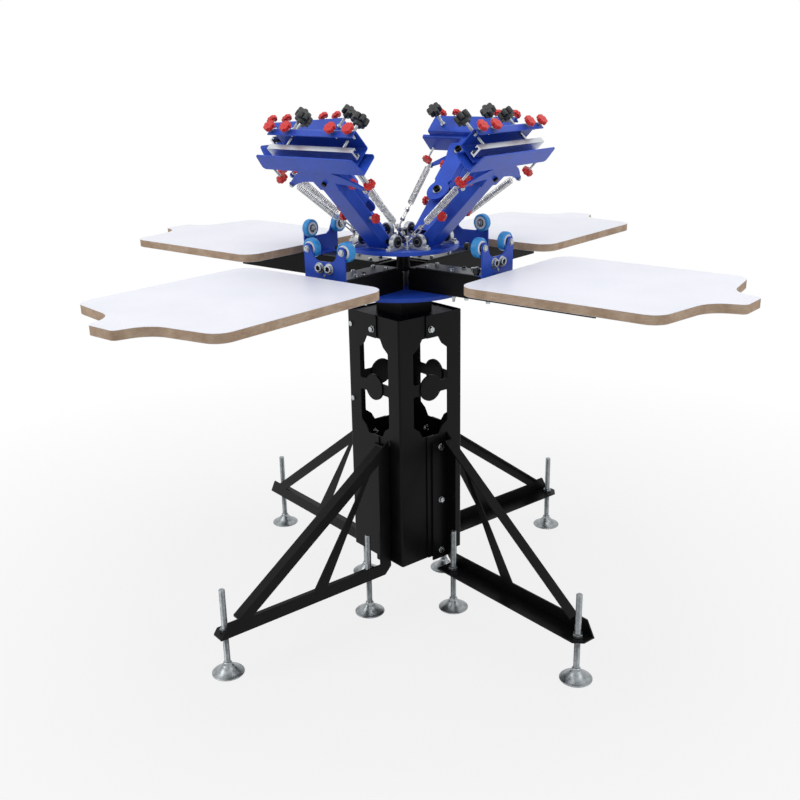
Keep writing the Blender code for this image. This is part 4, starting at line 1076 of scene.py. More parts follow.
def slide_plate():
    """Ground plate on the channel."""
    outline = mirrored([(SLIDE_START, SLIDE_HALF), (SLIDE_END, SLIDE_HALF)])
    return plate(filleted(outline, SLIDE_CORNER), CHANNEL_TOP_Z, CHANNEL_TOP_Z + SLIDE_THICK)


show_stations(
    ("slide_bolts", slide_fasteners(), [ZINC, BLACK_STEEL_AND_SOCKET_SHADE], "board_carousel"),
    ("slide_plate", slide_plate(), [OILED_STEEL], "board_carousel"),
)
print("slides end at", SLIDE_END)

# %% [markdown]
# The roller bracket is a blue plate with a throat. Two rollers turn on bolts at its shoulders, and two
# bright stop screws stand at the foot of the throat; the black floor in each of their sockets is painted
# shade. The plate is cut and softened like the others, and its fillets are larger in the throat, where
# the arm slides in.

# %% Roller brackets
BRACKET_OUTER = 0.284
BRACKET_SHEET = 0.004
BRACKET_HALF = 0.063
BRACKET_SHOULDER_Z = 0.993
BRACKET_TOP_Z = 1.004
BRACKET_EAR_OUTER = 0.058
BRACKET_EAR_INNER = 0.047
BRACKET_THROAT_TOP_HALF = 0.042
BRACKET_THROAT_HALF = 0.033
BRACKET_THROAT_Z = 0.973
BRACKET_THROAT_FOOT_HALF = 0.022
BRACKET_THROAT_FOOT_Z = 0.966
BRACKET_FOOT_DEPTH = 0.028
BRACKET_FOOT_HALF = 0.034
BRACKET_FILLET = 0.007
BRACKET_SEAM = 0.001
STOP_SCREW_OFFSET = 0.0148
STOP_SCREW_Z = 0.951
STOP_SCREW_RADIUS = 0.0100
STOP_SCREW_HEIGHT = 0.006
STOP_WASHER_RADIUS = 0.0130
AXLE_WASHER_RADIUS = 0.0082
AXLE_HEAD_FLATS = 0.012
AXLE_HEAD_HEIGHT = 0.003
AXLE_END = 0.008
SPACER_RADIUS = 0.0075
SPACER_LENGTH = 0.0028
BRACKET_HOLE_Z = 0.934
BRACKET_HOLE_RADIUS = 0.0022
RIVET_RADIUS = 0.0034
RIVET_HEIGHT = 0.0015
AXLE_RADIUS = 0.004
ROLLER_OFFSET = 0.0535
ROLLER_Z = 0.991


def bracket_plate():
    """Plate with its throat and its foot on the channel."""
    half = [
        (BRACKET_HALF, BOARD_FOOT_Z),
        (BRACKET_HALF, BRACKET_SHOULDER_Z),
        (BRACKET_EAR_OUTER, BRACKET_TOP_Z),
        (BRACKET_EAR_INNER, BRACKET_TOP_Z),
        (BRACKET_THROAT_TOP_HALF, BRACKET_SHOULDER_Z),
        (BRACKET_THROAT_HALF, BRACKET_THROAT_Z),
        (BRACKET_THROAT_FOOT_HALF, BRACKET_THROAT_FOOT_Z),
    ]
    outline = half + [(-across, up) for across, up in reversed(half)]
    hole = circle(BRACKET_HOLE_RADIUS, 16, (0, BRACKET_HOLE_Z))
    inner = BRACKET_OUTER - BRACKET_SHEET
    face = plate(filleted(outline, BRACKET_FILLET), inner, BRACKET_OUTER, "x", holes=[hole])
    foot = mirrored(
        [(inner - BRACKET_FOOT_DEPTH, BRACKET_FOOT_HALF), (inner + BRACKET_SEAM, BRACKET_FOOT_HALF)]
    )
    return gathered(face, plate(foot, BOARD_FOOT_Z, BOARD_FOOT_Z + BRACKET_SHEET))


def bracket_screws():
    """Axle bolts with their washers and nuts, the two stop screws and the rivet below them."""
    parts = []
    roller_low, roller_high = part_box("roller_1a")
    for side in (-1, 1):
        across = side * ROLLER_OFFSET
        start, end = (roller_low.x - AXLE_END, across, ROLLER_Z), (BRACKET_OUTER, across, ROLLER_Z)
        parts.append((rod(AXLE_RADIUS, start, end), 0))
        head = (AXLE_HEAD_FLATS, AXLE_HEAD_HEIGHT)
        fittings = (
            (hex_bolt(*head, AXLE_WASHER_RADIUS), BRACKET_OUTER, OUTWARD),
            (hex_bolt(*head, SPACER_RADIUS), roller_low.x - PLAY, INWARD),
            (washer(SPACER_RADIUS, SPACER_LENGTH), roller_high.x + PLAY, OUTWARD),
        )
        for mesh, reach, turn in fittings:
            parts.append((seated(mesh, (reach, across, ROLLER_Z), turn), 0))
        spot = (BRACKET_OUTER, side * STOP_SCREW_OFFSET, STOP_SCREW_Z)
        # The stop screws have zinc heads, so the black floor in each socket is painted shade.
        screw = socket_screw(STOP_SCREW_RADIUS, STOP_SCREW_HEIGHT, STOP_WASHER_RADIUS, 0)
        parts += [(seated(mesh, spot, OUTWARD), number) for mesh, number in screw]
    rivet = washer(RIVET_RADIUS, RIVET_HEIGHT)
    parts.append((seated(rivet, (BRACKET_OUTER, 0, BRACKET_HOLE_Z), OUTWARD), 0))
    return gathered(*parts)


show_stations(
    ("throat_plate", bracket_plate(), [BLUE_COAT], "board_carousel", "roller_bracket", "blue_enamel"),
    # Here the black finish is only the painted shade in the stop screws' sockets.
    ("bracket_screws", bracket_screws(), [ZINC, BLACK_STEEL_AND_SOCKET_SHADE], "board_carousel"),
)
print("bracket fillet in millimetres:", BRACKET_FILLET / MM)

# %% [markdown]
# A roller is a ball bearing in a pale nylon ring with a moulded blue tyre, rounded at its shoulders. It
# is three profiles turned about the same axle and joined into one mesh with three finishes, plus the
# steel hub.

# %% Rollers
TYRE_ROUND = 0.005
RING_RADIUS = 0.0165
HUB_OUTER = 0.0105
SEAL_INNER = 0.007
HUB_RADIUS_OUT = 0.0076
RING_INSET = 0.0008
SEAL_INSET = 0.0016
RING_LAP = 0.0005
ROLLER_STEPS = 6


def roller():
    """Tyre, ring, bearing seal and steel hub about X."""
    low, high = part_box("roller_1a")
    radius, half = (high.z - low.z) / 2, (high.x - low.x) / 2
    crown, shoulder = radius - TYRE_ROUND, half - TYRE_ROUND
    ring_end, seal_end = half - RING_INSET, half - SEAL_INSET
    tyre = [(RING_RADIUS, -ring_end)]
    tyre += arc((crown, -shoulder), TYRE_ROUND, -90, 0, ROLLER_STEPS)
    tyre += arc((crown, shoulder), TYRE_ROUND, 0, 90, ROLLER_STEPS)
    tyre.append((RING_RADIUS, ring_end))
    return gathered(
        (lathe(tyre, 64, "x", bored=True), 0),
        (banded(HUB_OUTER, RING_RADIUS + RING_LAP, -ring_end, ring_end), 1),
        (banded(SEAL_INNER, HUB_OUTER + RING_LAP, -seal_end, seal_end), 2),
        (banded(AXLE_RADIUS + RING_LAP, HUB_RADIUS_OUT, -half, half), 3),
    )


roller_mesh = roller()
ROLLER_FINISHES = [TYRE_BLUE, PALE_NYLON, SEAL_RUBBER, STEEL]
for number in range(1, STATIONS + 1):
    for letter in "ab":
        node = f"roller_{number}{letter}"
        low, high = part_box(node)
        place = Matrix.Translation((low + high) / 2) @ station_turn(number)
        show(f"tyred_{node}", roller_mesh, ROLLER_FINISHES, node, place, [node])
print("roller points:", len(roller_mesh.vertices))

# %% [markdown]
# Eight die cast pillow blocks carry the arms. Each has a round housing on a foot with two bolts, and a
# bearing insert whose dark ring and seal show from the side round a steel collar. The housing's outline
# is an arc that runs tangent down to the foot, and the insert is turned from three profiles.

# %% Pillow blocks and spring posts
PIVOT_REACH = JOINTS["arm_lift_1"]["pos_m"][0]
PIVOT_Z = JOINTS["arm_lift_1"]["pos_m"][2]
PIVOT_RADIUS = 0.006
PIVOT_HALF = 0.066
BLOCK_OFFSET = 0.055
BLOCK_WIDTH = 0.013
BLOCK_HALF = 0.029
BLOCK_BASE = 0.007
BLOCK_HOUSING_RADIUS = 0.0175
BLOCK_SOFT = 0.001
BLOCK_BOLT_WASHER = 0.0062
INSERT_RADIUS = 0.0135
RACE_INNER = 0.0110
RACE_SHOW = 0.0006
SEAL_SHOW = 0.0002
COLLAR_RADIUS = 0.0082
COLLAR_SHOW = 0.002
ANCHOR_OFFSET = 0.0715
ANCHOR_RADIUS = 0.003
ANCHOR_TOP_Z = 1.002
ANCHOR_HEAD_RADIUS = 0.006
ANCHOR_HEAD_HEIGHT = 0.003


def pillow_block(offset):
    """Housing, bearing insert and foot bolts of one block."""
    ledge = UPPER_TOP_Z + BLOCK_BASE
    foot_start, foot_end = PIVOT_REACH - BLOCK_HALF, PIVOT_REACH + BLOCK_HALF
    outline = [(foot_end, UPPER_TOP_Z), (foot_end, ledge)]
    outline += arc((PIVOT_REACH, PIVOT_Z), BLOCK_HOUSING_RADIUS, -30, 210, 34)
    outline += [(foot_start, ledge), (foot_start, UPPER_TOP_Z)]
    near, far = offset - BLOCK_WIDTH / 2, offset + BLOCK_WIDTH / 2
    centre = (PIVOT_REACH, 0, PIVOT_Z)
    rings = (
        (RACE_INNER, INSERT_RADIUS, RACE_SHOW, 3),
        (COLLAR_RADIUS, RACE_INNER + RING_LAP, SEAL_SHOW, 3),
        (PIVOT_RADIUS + RING_LAP, COLLAR_RADIUS, COLLAR_SHOW, 1),
    )
    parts = [(plate(outline, near, far, "y", soft=BLOCK_SOFT), 0)]
    for inner, outer, show_by, number in rings:
        parts.append((banded(inner, outer, near - show_by, far + show_by, centre, "y", 48), number))
    for side in (-1, 1):
        spot = (PIVOT_REACH + side * (BLOCK_HALF - BLOCK_BOLT_WASHER), offset, ledge)
        parts.append((moved_to(hex_bolt(SMALL_FLATS, SMALL_HEIGHT, BLOCK_BOLT_WASHER), *spot), 2))
    return parts


def spring_post():
    """Screw that the spring eyes hook over, with a nut at its foot."""
    spot = (ANCHOR_OFFSET, ANCHOR_OFFSET)
    nut = hex_bolt(SMALL_FLATS, SMALL_HEIGHT, SMALL_WASHER)
    head = washer(ANCHOR_HEAD_RADIUS, ANCHOR_HEAD_HEIGHT)
    return [
        (rod(ANCHOR_RADIUS, (*spot, UPPER_TOP_Z), (*spot, ANCHOR_TOP_Z - ANCHOR_HEAD_HEIGHT / 2)), 2),
        (moved_to(head, *spot, ANCHOR_TOP_Z - ANCHOR_HEAD_HEIGHT), 2),
        (moved_to(nut, *spot, UPPER_TOP_Z), 2),
        (seated(nut.copy(), (*spot, UPPER_FOOT_Z), DOWNWARD), 2),
    ]


def upper_fittings():
    """All that one station has on the upper disc."""
    return gathered(*pillow_block(BLOCK_OFFSET), *pillow_block(-BLOCK_OFFSET), *spring_post())


BLOCK_FINISHES = [CAST, STEEL, ZINC, SEAL_RUBBER]
show_stations(("pillow_blocks", upper_fittings(), BLOCK_FINISHES, "arm_carousel"))
print("pillow block height:", round(PIVOT_Z - UPPER_TOP_Z, 4))

# %% [markdown]
# Two kinds of hand knob do all the adjusting. Both are lobed outlines stacked in rings: the red one has
# small, even lobes, and the black star has broad ones with deep waists. The rings swell and close
# again, so the knob is rounded front and back as it leaves its mould.

# %% Hand knobs
GUIDE_KNOB_RADIUS = 0.0120
HEAD_KNOB_RADIUS = 0.0140
RED_WAIST_SHARE = 0.8
RED_KNOB_DEPTH = 0.013
RED_KNOB_LOBES = 7
RED_SCREW_RADIUS = 0.003
BLACK_KNOB_RADIUS = 0.0200
BLACK_KNOB_WAIST = 0.0128
BLACK_KNOB_DEPTH = 0.018
BLACK_KNOB_LOBES = 6
RED_KNOB_NECK = (0.0062, 0.003)
BLACK_KNOB_NECK = (0.010, 0.007)
LOCK_KNOB_SPOT = (0.241, -0.0245)
LOCK_KNOB_SHAPE = (0.0098, 0.0084, 8, 0.012, 0.0062, 0.004)
LOCK_KNOB_NUT = (0.008, 0.0025)
KNOB_SIDES = 84
KNOB_RING_SHARES = ((0.0, 0.88), (0.05, 0.96), (0.13, 1.0), (0.80, 1.0), (0.92, 0.96), (0.96, 0.88))
KNOB_CROWN_CURVE = 0.4
NECK_MIDDLE_SHARES = (1.08, 0.5)
NECK_TOP_SHARE = 1.2
BOSS_FOOT_SHARE = 0.9
BOSS_SHARES = (0.62, 0.55)


def lobe_radius(angle, radius, waist, lobes):
    """Reach of a lobed outline at an angle: broad crowns and rounded waists."""
    crown = (0.5 + 0.5 * math.cos(lobes * angle)) ** KNOB_CROWN_CURVE
    return waist + (radius - waist) * crown


def hand_knob(radius, waist, lobes, depth, neck_radius, neck):
    """Knob along Z with its neck first; z = 0 is the foot of the neck."""
    rings = []
    for depth_share, size_share in KNOB_RING_SHARES:
        ring = []
        for step in range(KNOB_SIDES):
            angle = math.tau * step / KNOB_SIDES
            reach = lobe_radius(angle, radius, waist, lobes) * size_share
            ring.append((reach * math.cos(angle), reach * math.sin(angle), neck + depth * depth_share))
        rings.append(ring)
    swell, middle = NECK_MIDDLE_SHARES
    neck_profile = [
        (neck_radius, 0),
        (neck_radius * swell, neck * middle),
        (neck_radius * NECK_TOP_SHARE, neck + depth * KNOB_RING_SHARES[1][0]),
    ]
    foot_share, top_share = BOSS_SHARES
    boss_foot = (neck_radius * foot_share, neck + depth * BOSS_FOOT_SHARE)
    boss = lathe([boss_foot, (neck_radius * top_share, neck + depth)], 32)
    return gathered(ringed(rings), lathe(neck_profile, 32), boss)


def red_knob(radius):
    """Knob of an adjusting screw; those on the head are a little larger."""
    depth = RED_KNOB_DEPTH - RED_KNOB_NECK[1]
    return hand_knob(radius, radius * RED_WAIST_SHARE, RED_KNOB_LOBES, depth, *RED_KNOB_NECK)


def black_knob():
    """Star knob of the clamp screws."""
    shape = (BLACK_KNOB_RADIUS, BLACK_KNOB_WAIST, BLACK_KNOB_LOBES, BLACK_KNOB_DEPTH)
    return hand_knob(*shape, *BLACK_KNOB_NECK)


def lock_knob():
    """Knob on the slide plate, with a bright nut on top."""
    knob_top = LOCK_KNOB_SHAPE[3] + LOCK_KNOB_SHAPE[5]
    return gathered((hand_knob(*LOCK_KNOB_SHAPE), 0), (hex_head(*LOCK_KNOB_NUT, knob_top), 1))


lock_place = Matrix.Translation((*LOCK_KNOB_SPOT, CHANNEL_TOP_Z + SLIDE_THICK))


def lock_turn(number):
    """Place of a station's lock knob."""
    return station_turn(number) @ lock_place


lock_row = ("slide_lock_knob", lock_knob(), [BLACK_NYLON, ZINC], "board_carousel")
show_stations(lock_row, place=lock_turn)
print("knob points:", len(red_knob(HEAD_KNOB_RADIUS).vertices))

# %% [markdown]
# A print arm is a square tube with a yoke plate above it on two cheeks, and a horn bar below it for the
# springs. Its matrix is read from the joint that lifts it: X runs out along the tube, Y to its left and
# Z up from its middle. So the arm is modelled level and stands raised wherever the frame has it.

# %% Print arms
TUBE_HALF = 0.030
TUBE_HALF_DEPTH = 0.015
TUBE_WALL = 0.003
TUBE_START = -0.011
TUBE_END = 0.255
TUBE_CORNER = 0.0045
TUBE_SOFT = 0.0004
YOKE_TOP = 0.035
YOKE_SHEET = 0.005
YOKE_SOFT = 0.0009
YOKE_FILLET = 0.007
YOKE_ROUND_RADIUS = 0.031
YOKE_NECK_START = 0.126
YOKE_NECK_RUN = 0.010
YOKE_NECK_END = 0.198
YOKE_NECK_HALF = 0.027
YOKE_FLARE = 0.236
YOKE_FLARE_HALF = 0.036
YOKE_END = 0.256
YOKE_CHEEK_SHEET = 0.0035
YOKE_CHEEK_START = 0.118
YOKE_CHEEK_END = 0.247
TILT_BOLT_REACH = 0.102
SWIVEL_REACH = 0.233
CAP_HEAD_RADIUS = 0.009
CAP_HEAD_HEIGHT = 0.006
HORN_TIP_REACH = 0.219
HORN_TIP_OFFSET = 0.113
HORN_TIP_RADIUS = 0.0075
HORN_BAR_INNER = 0.208
HORN_ROOT_INNER = 0.235
HORN_ROOT_OFFSET = 0.034
HORN_ROOT_WIDTH = 0.039
HORN_WIDTH = 0.013
HORN_SAG = 0.012
HORN_SHEET = 0.004
HORN_SOFT = 0.0008
HORN_PIN_RADIUS = 0.003
HORN_PIN_HEIGHT = 0.014
HORN_STEPS = 14
GUIDE_KNOBS = ((0.090, 0.000), (0.205, 0.006))
GUIDE_KNOB_GAP = 0.012
CAP_WASHER_RADIUS = 0.0125
BOLT_RADIUS = 0.006
HORN_PIN_TAIL = 0.006
SLEEVE_RADIUS = 0.005
SLEEVE_FOOT = 0.0075
SLEEVE_LENGTH = 0.007
SCREW_GRIP = 0.004
FINE_PITCH = 0.0015
LOCK_NUT = (0.008, 0.003)
WELD = 0.0005


def arm_place(number):
    """Frame of a print arm from its joints."""
    left = -Vector(JOINTS[f"arm_lift_{number}"]["axis"])
    above = Vector(JOINTS[f"head_swivel_{number}"]["axis"])
    place = Matrix((left.cross(above), left, above)).transposed().to_4x4()
    place.translation = JOINTS[f"arm_lift_{number}"]["pos_m"]
    return place


def box_outline(half_across, half_up, middle=(0, 0)):
    """Rectangle about a middle."""
    corners = ((-1, -1), (1, -1), (1, 1), (-1, 1))
    return [(middle[0] + side * half_across, middle[1] + end * half_up) for side, end in corners]


def arm_tube():
    """Rectangular tube with rounded corners, open at both ends."""
    outer = filleted(box_outline(TUBE_HALF, TUBE_HALF_DEPTH), TUBE_CORNER, 6)
    bore = box_outline(TUBE_HALF - TUBE_WALL, TUBE_HALF_DEPTH - TUBE_WALL)
    holes = [filleted(bore, TUBE_CORNER / 2, 4)]
    return plate(outer, TUBE_START, TUBE_END, "x", holes, TUBE_SOFT, 1)


def yoke_outline():
    """Top plate: round end about the tilt bolt, neck, flare and square end."""
    notch = math.degrees(math.acos((YOKE_NECK_START - TILT_BOLT_REACH) / YOKE_ROUND_RADIUS))
    half = arc((TILT_BOLT_REACH, 0), YOKE_ROUND_RADIUS, 176, notch, 20)
    half += [
        (YOKE_NECK_START + YOKE_NECK_RUN, YOKE_NECK_HALF),
        (YOKE_NECK_END, YOKE_NECK_HALF),
        (YOKE_FLARE, YOKE_FLARE_HALF),
        (YOKE_END, YOKE_FLARE_HALF),
    ]
    return filleted(mirrored(half), YOKE_FILLET)


def horn_outline():
    """Bar across the arm with two curved horns, broad at the root."""
    tip_inner = HORN_TIP_REACH - HORN_WIDTH / 2
    outer, inner = [], []
    for step in range(HORN_STEPS):
        share = step / HORN_STEPS
        reach = HORN_ROOT_INNER + (tip_inner - HORN_ROOT_INNER) * share
        reach += HORN_SAG * math.sin(math.pi * share) / 2
        width = HORN_ROOT_WIDTH + (HORN_WIDTH - HORN_ROOT_WIDTH) * share
        across = HORN_ROOT_OFFSET + (HORN_TIP_OFFSET - HORN_ROOT_OFFSET) * share
        outer.append((reach + width, across))
        inner.append((reach, across))
    tip = arc((HORN_TIP_REACH, HORN_TIP_OFFSET), HORN_TIP_RADIUS, 0, 180, 12)
    return mirrored(outer + tip + inner[::-1] + [(HORN_BAR_INNER, TUBE_HALF)])


def arm_steel():
    """Blue steelwork of the arm."""
    plate_foot, sole = YOKE_TOP - YOKE_SHEET, -TUBE_HALF_DEPTH - HORN_SHEET
    cheek_half = (YOKE_CHEEK_END - YOKE_CHEEK_START) / 2
    cheek_middle = (YOKE_CHEEK_END + YOKE_CHEEK_START) / 2
    parts = [arm_tube(), plate(yoke_outline(), plate_foot, YOKE_TOP, soft=YOKE_SOFT)]
    for side in (-1, 1):
        across = side * (YOKE_NECK_HALF - YOKE_CHEEK_SHEET / 2 - WELD)
        cheek = box_outline(cheek_half, YOKE_CHEEK_SHEET / 2, (cheek_middle, across))
        parts.append(plate(cheek, TUBE_HALF_DEPTH - WELD, plate_foot + WELD))
    parts.append(plate(horn_outline(), sole, -TUBE_HALF_DEPTH, soft=HORN_SOFT))
    return gathered(*parts)


def side_facing(side):
    """Turn of Z towards one side of the arm."""
    return Matrix.Rotation(-side * math.pi / 2, 4, "X")


def horn_pin(spot):
    """Pin, nut and red sleeve at the tip of a horn."""
    foot = -TUBE_HALF_DEPTH - HORN_SHEET
    pin = rod(HORN_PIN_RADIUS, (*spot, foot - HORN_PIN_TAIL), (*spot, HORN_PIN_HEIGHT - TUBE_HALF_DEPTH))
    nut = moved_to(hex_head(SMALL_FLATS, SMALL_HEIGHT, foot - SMALL_HEIGHT), *spot, 0)
    sleeve = moved_to(washer(SLEEVE_RADIUS, SLEEVE_LENGTH), *spot, SLEEVE_FOOT - TUBE_HALF_DEPTH)
    return [(pin, 0), (nut, 0), (sleeve, 2)]


def arm_fasteners():
    """Pivot shaft, yoke bolts, horn pins and the screws of the guide knobs."""
    parts = [(rod(PIVOT_RADIUS, (0, -PIVOT_HALF, 0), (0, PIVOT_HALF, 0), 32), 1)]
    for reach in (TILT_BOLT_REACH, SWIVEL_REACH):
        for mesh, number in socket_screw(CAP_HEAD_RADIUS, CAP_HEAD_HEIGHT, CAP_WASHER_RADIUS):
            parts.append((moved_to(mesh, reach, 0, YOKE_TOP), number))
        parts.append((rod(BOLT_RADIUS, (reach, 0, TUBE_HALF_DEPTH), (reach, 0, YOKE_TOP)), 0))
    under = -TUBE_HALF_DEPTH - HORN_SHEET
    parts.append((rod(BOLT_RADIUS, (SWIVEL_REACH, 0, under), (SWIVEL_REACH, 0, under - BOLT_RADIUS)), 1))
    for side in (-1, 1):
        parts += horn_pin((HORN_TIP_REACH, side * HORN_TIP_OFFSET))
        for reach, lift in GUIDE_KNOBS:
            root = Vector((reach, side * TUBE_HALF, lift))
            face = root + Vector((0, side * (GUIDE_KNOB_GAP + SCREW_GRIP), 0))
            parts.append((thread(RED_SCREW_RADIUS, root, face, FINE_PITCH), 0))
            parts.append((seated(hex_head(*LOCK_NUT), root, side_facing(side)), 0))
    return gathered(*parts)


def guide_knobs():
    """Four red knobs at the sides of the tube."""
    parts = []
    for side in (-1, 1):
        for reach, lift in GUIDE_KNOBS:
            spot = (reach, side * (TUBE_HALF + GUIDE_KNOB_GAP), lift)
            parts.append(seated(red_knob(GUIDE_KNOB_RADIUS), spot, side_facing(side)))
    return gathered(*parts)


show_stations(
    ("arm_steelwork", arm_steel(), [BLUE_COAT], "arm_{}", "print_arm", "blue_enamel"),
    ("arm_fasteners", arm_fasteners(), [ZINC, BLACK_STEEL_AND_SOCKET_SHADE, RED_NYLON], "arm_{}"),
    ("guide_knobs", guide_knobs(), [RED_NYLON], "arm_{}"),
    place=arm_place,
)
print("arm tube length:", round(TUBE_END - TUBE_START, 4))

# %% [markdown]
# The head that holds the screen is two folded sheets. The carrier has a wide sole below the screen, a
# wall and a short fold on top. The jaw is a roof over the clamp rail with a wall behind it and a lip
# folded down in front. Both are drawn as the middle line of the sheet, and one function gives that line
# its thickness and its bends.

# %% Print heads
CARRIER_SHEET = 0.003
CARRIER_BACK = 0.277
CARRIER_FOOT = -0.025
CARRIER_TOP = 0.027
CARRIER_HALF = 0.150
CARRIER_INNER_HALF = 0.156
CARRIER_OUTER_HALF = 0.145
CARRIER_OUTER = 0.325
JAW_BACK = 0.285
JAW_SHEET = 0.003
JAW_FOOT = -0.007
JAW_TOP = 0.043
JAW_LIP = 0.341
JAW_LIP_FOOT = 0.023
JAW_HALF = 0.127
SHEET_BEND = 0.0035
SOLE_CORNER = 0.008
TONGUE_CORNER = 0.006
TONGUE_HALF = 0.018
TONGUE_SHEET = 0.005
TONGUE_INNER = 0.216
LIP_KNOB_OFFSETS = (0.067, 0.118)
LIP_KNOB_HEIGHT = 0.036
LIP_KNOB_SHOW = 0.005
LIP_TIP_REACH = 0.323
TAIL_KNOB_OFFSET = 0.134
TAIL_KNOB_HEIGHT = -0.016
TAIL_KNOB_REACH = 0.245
RAIL_REACH = 0.308
RAIL_SCREW_OFFSET = 0.085


def head_sheets():
    """Carrier, jaw and swivel tongue."""
    mid = CARRIER_SHEET / 2
    wall, jaw_wall, lip = CARRIER_BACK + mid, JAW_BACK + mid, JAW_LIP - mid
    carrier_line = [(wall, CARRIER_FOOT + mid), (wall, CARRIER_TOP - mid), (jaw_wall, CARRIER_TOP - mid)]
    roof = JAW_TOP - mid
    jaw_line = [(jaw_wall, JAW_FOOT), (jaw_wall, roof), (lip, roof), (lip, JAW_LIP_FOOT)]
    sole = mirrored([(CARRIER_BACK + mid / 2, CARRIER_INNER_HALF), (CARRIER_OUTER, CARRIER_OUTER_HALF)])
    tongue_top = YOKE_TOP - YOKE_SHEET - PLAY
    tongue = mirrored([(wall, TONGUE_HALF), (TONGUE_INNER, TONGUE_HALF)])
    carrier = bent_sheet(carrier_line, CARRIER_SHEET, SHEET_BEND)
    jaw = bent_sheet(jaw_line, JAW_SHEET, SHEET_BEND)
    return gathered(
        plate(carrier, -CARRIER_HALF, CARRIER_HALF, "y"),
        plate(jaw, -JAW_HALF, JAW_HALF, "y"),
        plate(filleted(sole, SOLE_CORNER), CARRIER_FOOT, CARRIER_FOOT + CARRIER_SHEET),
        plate(filleted(tongue, TONGUE_CORNER), tongue_top - TONGUE_SHEET, tongue_top),
    )


def head_fasteners():
    """Lip and tail screws, and the nuts that guide the clamp screws."""
    parts = []
    for side in (-1, 1):
        for offset in LIP_KNOB_OFFSETS:
            lip = Vector((JAW_LIP, side * offset, LIP_KNOB_HEIGHT))
            tip = (LIP_TIP_REACH, lip.y, lip.z)
            face = lip + Vector((LIP_KNOB_SHOW + SCREW_GRIP, 0, 0))
            parts.append(thread(RED_SCREW_RADIUS, tip, face, FINE_PITCH))
            parts.append(seated(hex_head(*LOCK_NUT), lip, OUTWARD))
        across = side * TAIL_KNOB_OFFSET
        tail = (TAIL_KNOB_REACH - SCREW_GRIP, across, TAIL_KNOB_HEIGHT)
        wall = (CARRIER_BACK + CARRIER_SHEET / 2, across, TAIL_KNOB_HEIGHT)
        parts.append(thread(RED_SCREW_RADIUS, tail, wall, FINE_PITCH))
        nut = hex_head(HEX_FLATS, SMALL_HEIGHT)
        parts.append(moved_to(nut, RAIL_REACH, side * RAIL_SCREW_OFFSET, JAW_TOP))
    return gathered(*parts)


def head_knobs():
    """Red knobs on the lip and behind the wall."""
    parts = []
    for side in (-1, 1):
        for offset in LIP_KNOB_OFFSETS:
            spot = (JAW_LIP + LIP_KNOB_SHOW, side * offset, LIP_KNOB_HEIGHT)
            parts.append(seated(red_knob(HEAD_KNOB_RADIUS), spot, OUTWARD))
        spot = (TAIL_KNOB_REACH, side * TAIL_KNOB_OFFSET, TAIL_KNOB_HEIGHT)
        parts.append(seated(red_knob(HEAD_KNOB_RADIUS), spot, INWARD))
    return gathered(*parts)


show_stations(
    ("head_sheets", head_sheets(), [BLUE_COAT], "head_{}", "print_head", "blue_enamel"),
    ("head_fasteners", head_fasteners(), [ZINC], "head_{}"),
    ("head_knobs", head_knobs(), [RED_NYLON], "head_{}"),
    place=arm_place,
)
print("head width:", round(2 * CARRIER_HALF, 3))

# %% [markdown]
# The clamp rail is an aluminium extrusion with a C-slot. Two screws with black star knobs press it down
# on the back edge of the screen frame. Its section is extruded and the screws run through the jaw's
# roof.

# %% Clamp rails
RAIL_WIDTH = 0.025
RAIL_DEPTH = 0.013
RAIL_HALF = 0.128
RAIL_SLOT_WIDTH = 0.010
RAIL_SLOT_DEPTH = 0.008
RAIL_CHANNEL_WIDTH = 0.018
RAIL_LIP = 0.0025
RAIL_SCREW_RADIUS = 0.004
RAIL_KNOB_FOOT = 0.083
RAIL_SOFT = 0.0003
RAIL_THREAD_PITCH = 0.002
RAIL_THREAD_GRIP = 0.002
RAIL_NUT_HEIGHT = 0.004


def rail_section():
    """Section of the extrusion: reach and height."""
    half, slot, channel = RAIL_WIDTH / 2, RAIL_SLOT_WIDTH / 2, RAIL_CHANNEL_WIDTH / 2
    floor, lip = RAIL_DEPTH - RAIL_SLOT_DEPTH, RAIL_DEPTH - RAIL_LIP
    right = [(half, 0), (half, RAIL_DEPTH), (slot, RAIL_DEPTH)]
    right += [(slot, lip), (channel, lip), (channel, floor)]
    left = [(-across, up) for across, up in reversed(right)]
    return [(RAIL_REACH + across, up) for across, up in right + left]


def rail_screws():
    """Clamp screws from the floor of the slot, each with a hex nut on top of the rail."""
    foot, top = RAIL_DEPTH - RAIL_SLOT_DEPTH, RAIL_KNOB_FOOT + RAIL_THREAD_GRIP
    parts = []
    for side in (-1, 1):
        spot = (RAIL_REACH, side * RAIL_SCREW_OFFSET)
        parts.append(thread(RAIL_SCREW_RADIUS, (*spot, foot), (*spot, top), RAIL_THREAD_PITCH))
        parts.append(moved_to(hex_head(HEX_FLATS, RAIL_NUT_HEIGHT), *spot, RAIL_DEPTH + PLAY))
    return gathered(*parts)


def rail_knobs():
    """Black star knobs on the clamp screws."""
    spots = [(RAIL_REACH, side * RAIL_SCREW_OFFSET, RAIL_KNOB_FOOT) for side in (-1, 1)]
    return gathered(*(moved_to(black_knob(), *spot) for spot in spots))


rail_mesh = plate(rail_section(), -RAIL_HALF, RAIL_HALF, "y", soft=RAIL_SOFT, steps=1)
show_stations(
    ("slotted_rail", rail_mesh, [ALUMINIUM], "rail_{}", "clamp_rail", "aluminium"),
    ("clamp_screws", rail_screws(), [ZINC], "rail_{}"),
    ("star_knobs", rail_knobs(), [BLACK_NYLON], "rail_{}"),
    place=arm_place,
)
print("rail length:", round(2 * RAIL_HALF, 3))
